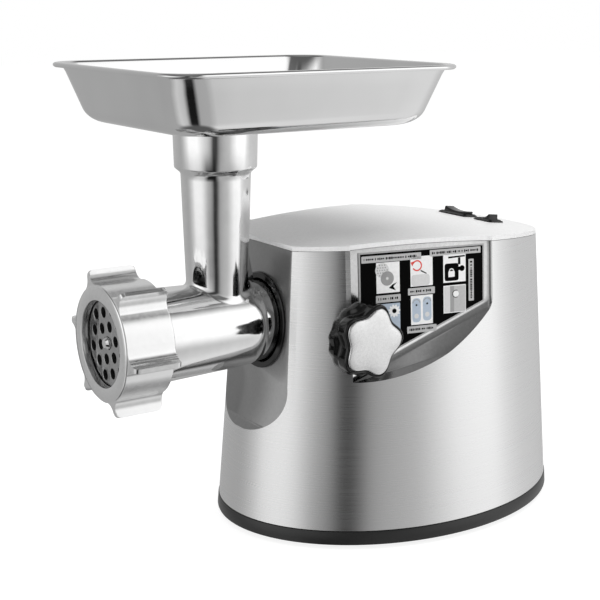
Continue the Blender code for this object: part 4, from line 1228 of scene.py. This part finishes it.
def make_tray():
    """A pressed sheet: a rolled rim, leaning walls, a curved foot, a flat floor and a spout."""
    rim = [
        (0.0009, -0.0030), (0.0003, -0.0024), (0.0000, -0.0016), (0.0002, -0.0008), (0.0008, -0.0002),
        (0.0016, 0.0), (0.0034, 0.0), (0.0043, -0.0002), (0.0049, -0.0007), (TRAY_LIP, -0.0014),
    ]
    rings = [tray_outline(inset, TRAY_RIM_Z + drop) for inset, drop in rim]
    wall_h = TRAY_RIM_Z - TRAY_FLOOR_Z - TRAY_FILLET_R * (1 - math.sin(TRAY_WALL_LEAN))
    wall_foot = TRAY_LIP + wall_h * math.tan(TRAY_WALL_LEAN)
    for step in range(1, 5):
        share = step / 5
        rings.append(tray_outline(TRAY_LIP + (wall_foot - TRAY_LIP) * share, TRAY_RIM_Z - wall_h * share))
    for step in range(13):
        turn = TRAY_WALL_LEAN + (math.pi / 2 - TRAY_WALL_LEAN) * step / 12
        inset = wall_foot + TRAY_FILLET_R * (math.cos(TRAY_WALL_LEAN) - math.cos(turn))
        rings.append(tray_outline(inset, TRAY_FLOOR_Z + TRAY_FILLET_R * (1 - math.sin(turn))))
    turns = [math.atan2(p.y, p.x - NECK_X) for p in rings[-1]]
    for radius, z in (
        (0.0262, TRAY_FLOOR_Z), (0.0247, TRAY_FLOOR_Z - 0.0002), (0.0235, TRAY_FLOOR_Z - 0.0010),
        (0.0230, TRAY_FLOOR_Z - 0.0024), (0.0229, TRAY_FLOOR_Z - 0.0170),
    ):
        rings.append([Vector((NECK_X + radius * math.cos(t), radius * math.sin(t), z)) for t in turns])
    work = bmesh.new()
    add_skin(work, rings, caps=False)
    tray = linked("tray_pressing", work)
    sheet = tray.modifiers.new("sheet", "SOLIDIFY")
    sheet.thickness = TRAY_T
    sheet.offset = -1.0
    shaped(tray)
    smooth(tray, 40)
    show(tray, "polished_tray", "feed_tray", "polished_tray", "tray")


# ---- knob


def lobed(middle_r, lobe):
    points = []
    for turn in circle_turns(200):
        radius = middle_r + lobe * math.cos(5 * (turn - math.radians(1)))
        points.append((radius * math.cos(turn), radius * math.sin(turn)))
    return points


def knob_ring(height, middle_r, lobe, flute):
    points = []
    for x, y in lobed(middle_r, lobe):
        turn = math.atan2(y, x)
        scale = 1 - flute * (0.5 + 0.5 * math.cos(15 * (turn - math.radians(13))))
        points.append((x * scale, y * scale, height))
    return points


def make_knob():
    """A black grip: a fluted back, scooped sides and a rounded lobed front with a seat for the cap."""
    back = (
        (-0.0035, 0.0108, 0.0, 0.0), (-0.0035, 0.0115, 0.0, 0.0), (0.0, 0.0115, 0.0, 0.0),
        (0.0, 0.0228, 0.0, 0.02), (0.0003, 0.0236, 0.0, 0.03), (0.0012, 0.0243, 0.0, 0.04),
        (0.0040, 0.0244, 0.0, 0.04), (0.0066, 0.0243, 0.0, 0.04), (0.0074, 0.0236, 0.0006, 0.03),
        (0.0080, 0.0228, 0.0016, 0.01), (0.0088, 0.0223, 0.0023, 0.0), (0.0098, 0.0221, KNOB_LOBE, 0.0),
        (0.0122, 0.0222, KNOB_LOBE, 0.0),
    )
    front = (
        (-0.0018, 0.0224), (-0.0010, 0.0223), (-0.0004, 0.0219), (-0.0001, 0.0215), (0.0, 0.0212),
        (0.0, 0.0210), (-0.0007, 0.0206), (-0.0008, 0.0190),
    )
    rings = [knob_ring(KNOB_BACK + height, *shape) for height, *shape in back]
    rings += [knob_ring(KNOB_FACE + height, middle_r, KNOB_LOBE, 0.0) for height, middle_r in front]
    at = (KNOB_X, 0, AXIS_Z)
    knob = skinned("knob_grip", [placed(ring, at, NEAR) for ring in rings])
    socket = disc_cutter("cut_socket", 0.0043, 0.020, (KNOB_X, 0.020 - 0.0863, AXIS_Z), NEAR)
    shaped(knob, *cut(socket))
    smooth(knob, 40)
    show(knob, "black_plastic", "knob", "black_plastic", "knob_body")

    rings = []
    for height, middle_r in (
        (-0.0003, 0.0190), (-0.0003, 0.0201), (0.0004, 0.0202), (0.0008, 0.0200), (0.0011, 0.0195),
        (0.0013, 0.0187), (0.0015, 0.0160), (0.0017, 0.0120), (0.0018, 0.0060),
    ):
        share = middle_r / 0.0202
        rings.append(lifted(lobed(middle_r, 0.0023 * share**2), KNOB_FACE + height))
    cap = skinned("knob_star", [placed(ring, at, NEAR) for ring in rings])
    smooth(cap, 40)
    show(cap, "cap_silver", "knob", "silver_plastic", "knob_cap")


# ---- studio


def ramp_stops(ramp, stops):
    """Sets a colour ramp from stops that go all round, from -180 to 180 degrees."""
    for element, (_, value) in zip(ramp.elements, (stops[0], stops[-1])):
        element.color = (*grey(value), 1.0)
    for angle, value in stops[1:-1]:
        ramp.elements.new(0.5 + angle / 360).color = (*grey(value), 1.0)


def make_world():
    """A soft studio: lights on both sides, a dark gap at the camera, a dark ceiling and a white backdrop."""
    world = bpy.data.worlds.new("studio")
    bpy.context.scene.world = world
    world.use_nodes = True
    tree = world.node_tree
    tree.nodes.clear()
    link = tree.links.new
    place = add_node(tree, "ShaderNodeTexCoord")
    turn = add_node(tree, "ShaderNodeMapping", Rotation=(0, 0, CAMERA_YAW + math.pi / 2))
    link(place.outputs["Generated"], turn.inputs["Vector"])
    around = add_node(tree, "ShaderNodeTexGradient")
    around.gradient_type = "RADIAL"
    link(turn.outputs["Vector"], around.inputs["Vector"])
    split = add_node(tree, "ShaderNodeSeparateXYZ")
    link(place.outputs["Generated"], split.inputs["Vector"])

    def band(stops):
        ramp = add_node(tree, "ShaderNodeValToRGB")
        ramp_stops(ramp.color_ramp, stops)
        link(around.outputs["Fac"], ramp.inputs["Fac"])
        return ramp.outputs["Color"]

    def blend_by_height(low, high, below, above):
        height = add_node(tree, "ShaderNodeMapRange", From_Min=low, From_Max=high)
        height.interpolation_type = "SMOOTHSTEP"
        link(split.outputs["Z"], height.inputs["Value"])
        mix = add_node(tree, "ShaderNodeMix")
        mix.data_type = "RGBA"
        link(height.outputs["Result"], mix.inputs["Factor"])
        link(below, mix.inputs["A"])
        link(above, mix.inputs["B"])
        return mix.outputs["Result"]

    whole = band(STUDIO_UNDER)
    for low, high, stops in STUDIO_LAYERS:
        whole = blend_by_height(low, high, whole, band(stops))
    light = add_node(tree, "ShaderNodeBackground")
    link(whole, light.inputs["Color"])
    white = add_node(tree, "ShaderNodeBackground", Color=(*grey(BACKGROUND), 1.0))
    seen = add_node(tree, "ShaderNodeLightPath")
    choose = add_node(tree, "ShaderNodeMixShader")
    link(seen.outputs["Is Camera Ray"], choose.inputs["Fac"])
    link(light.outputs["Background"], choose.inputs[1])
    link(white.outputs["Background"], choose.inputs[2])
    output = add_node(tree, "ShaderNodeOutputWorld")
    link(choose.outputs["Shader"], output.inputs["Surface"])


def make_floor():
    """A wide pale floor that metal doesn't mirror."""
    work = bmesh.new()
    corners = lifted(rectangle(-FLOOR_HALF, FLOOR_HALF, -FLOOR_HALF, FLOOR_HALF), 0.0)
    work.faces.new([work.verts.new(corner) for corner in corners])
    floor = object_from("floor", work)
    glow = {"Emission_Strength": 0.86, "Emission_Color": (*grey(1.0), 1.0)}
    floor.data.materials.append(speckled("floor_white", grey(0.30), 0.8, 0.0, 900, 0.00001, **glow))
    floor.visible_glossy = False
    floor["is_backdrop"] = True


def make_lamp():
    """One broad soft light from above, which metal doesn't mirror."""
    lamp = bpy.data.lights.new("overhead", "AREA")
    lamp.shape = "DISK"
    lamp.size = 2.4
    lamp.energy = 46.0
    light = bpy.data.objects.new("overhead", lamp)
    light.location = (-0.2, -0.3, 2.2)
    light.rotation_euler = (math.radians(-8), math.radians(-5), 0)
    light.visible_glossy = False
    light.visible_camera = False
    bpy.context.scene.collection.objects.link(light)


def make_camera():
    data = bpy.data.cameras.new("camera")
    data.lens = CAMERA_LENS
    data.sensor_width = 36.0
    camera = bpy.data.objects.new("camera", data)
    bpy.context.scene.collection.objects.link(camera)
    level = math.cos(CAMERA_PITCH)
    forward = Vector((math.sin(CAMERA_YAW) * level, math.cos(CAMERA_YAW) * level, -math.sin(CAMERA_PITCH)))
    facing = forward.to_track_quat("-Z", "Y").to_matrix() @ Matrix.Rotation(CAMERA_ROLL, 3, "Z")
    camera.location = CAMERA_AT
    camera.rotation_euler = facing.to_euler()
    bpy.context.scene.camera = camera


for thing in list(bpy.data.objects):
    bpy.data.objects.remove(thing, do_unlink=True)
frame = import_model()
cad_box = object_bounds()
bpy.context.scene.view_settings.view_transform = "Standard"
LOOKS = make_materials()
dress_cad_nodes(frame["nodes"])
make_camera()
make_world()
make_floor()
make_lamp()
make_shell()
make_front()
make_rear()
make_cover()
make_panels()
make_base()
make_port_ring()
make_label()
for switch in SWITCHES:
    make_switch_frame(*switch[:3])
    make_rocker(*switch)
make_head()
make_nut()
make_plate()
make_tray()
make_knob()
sizes = [[list(corner) for corner in box] for box in (cad_box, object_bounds())]
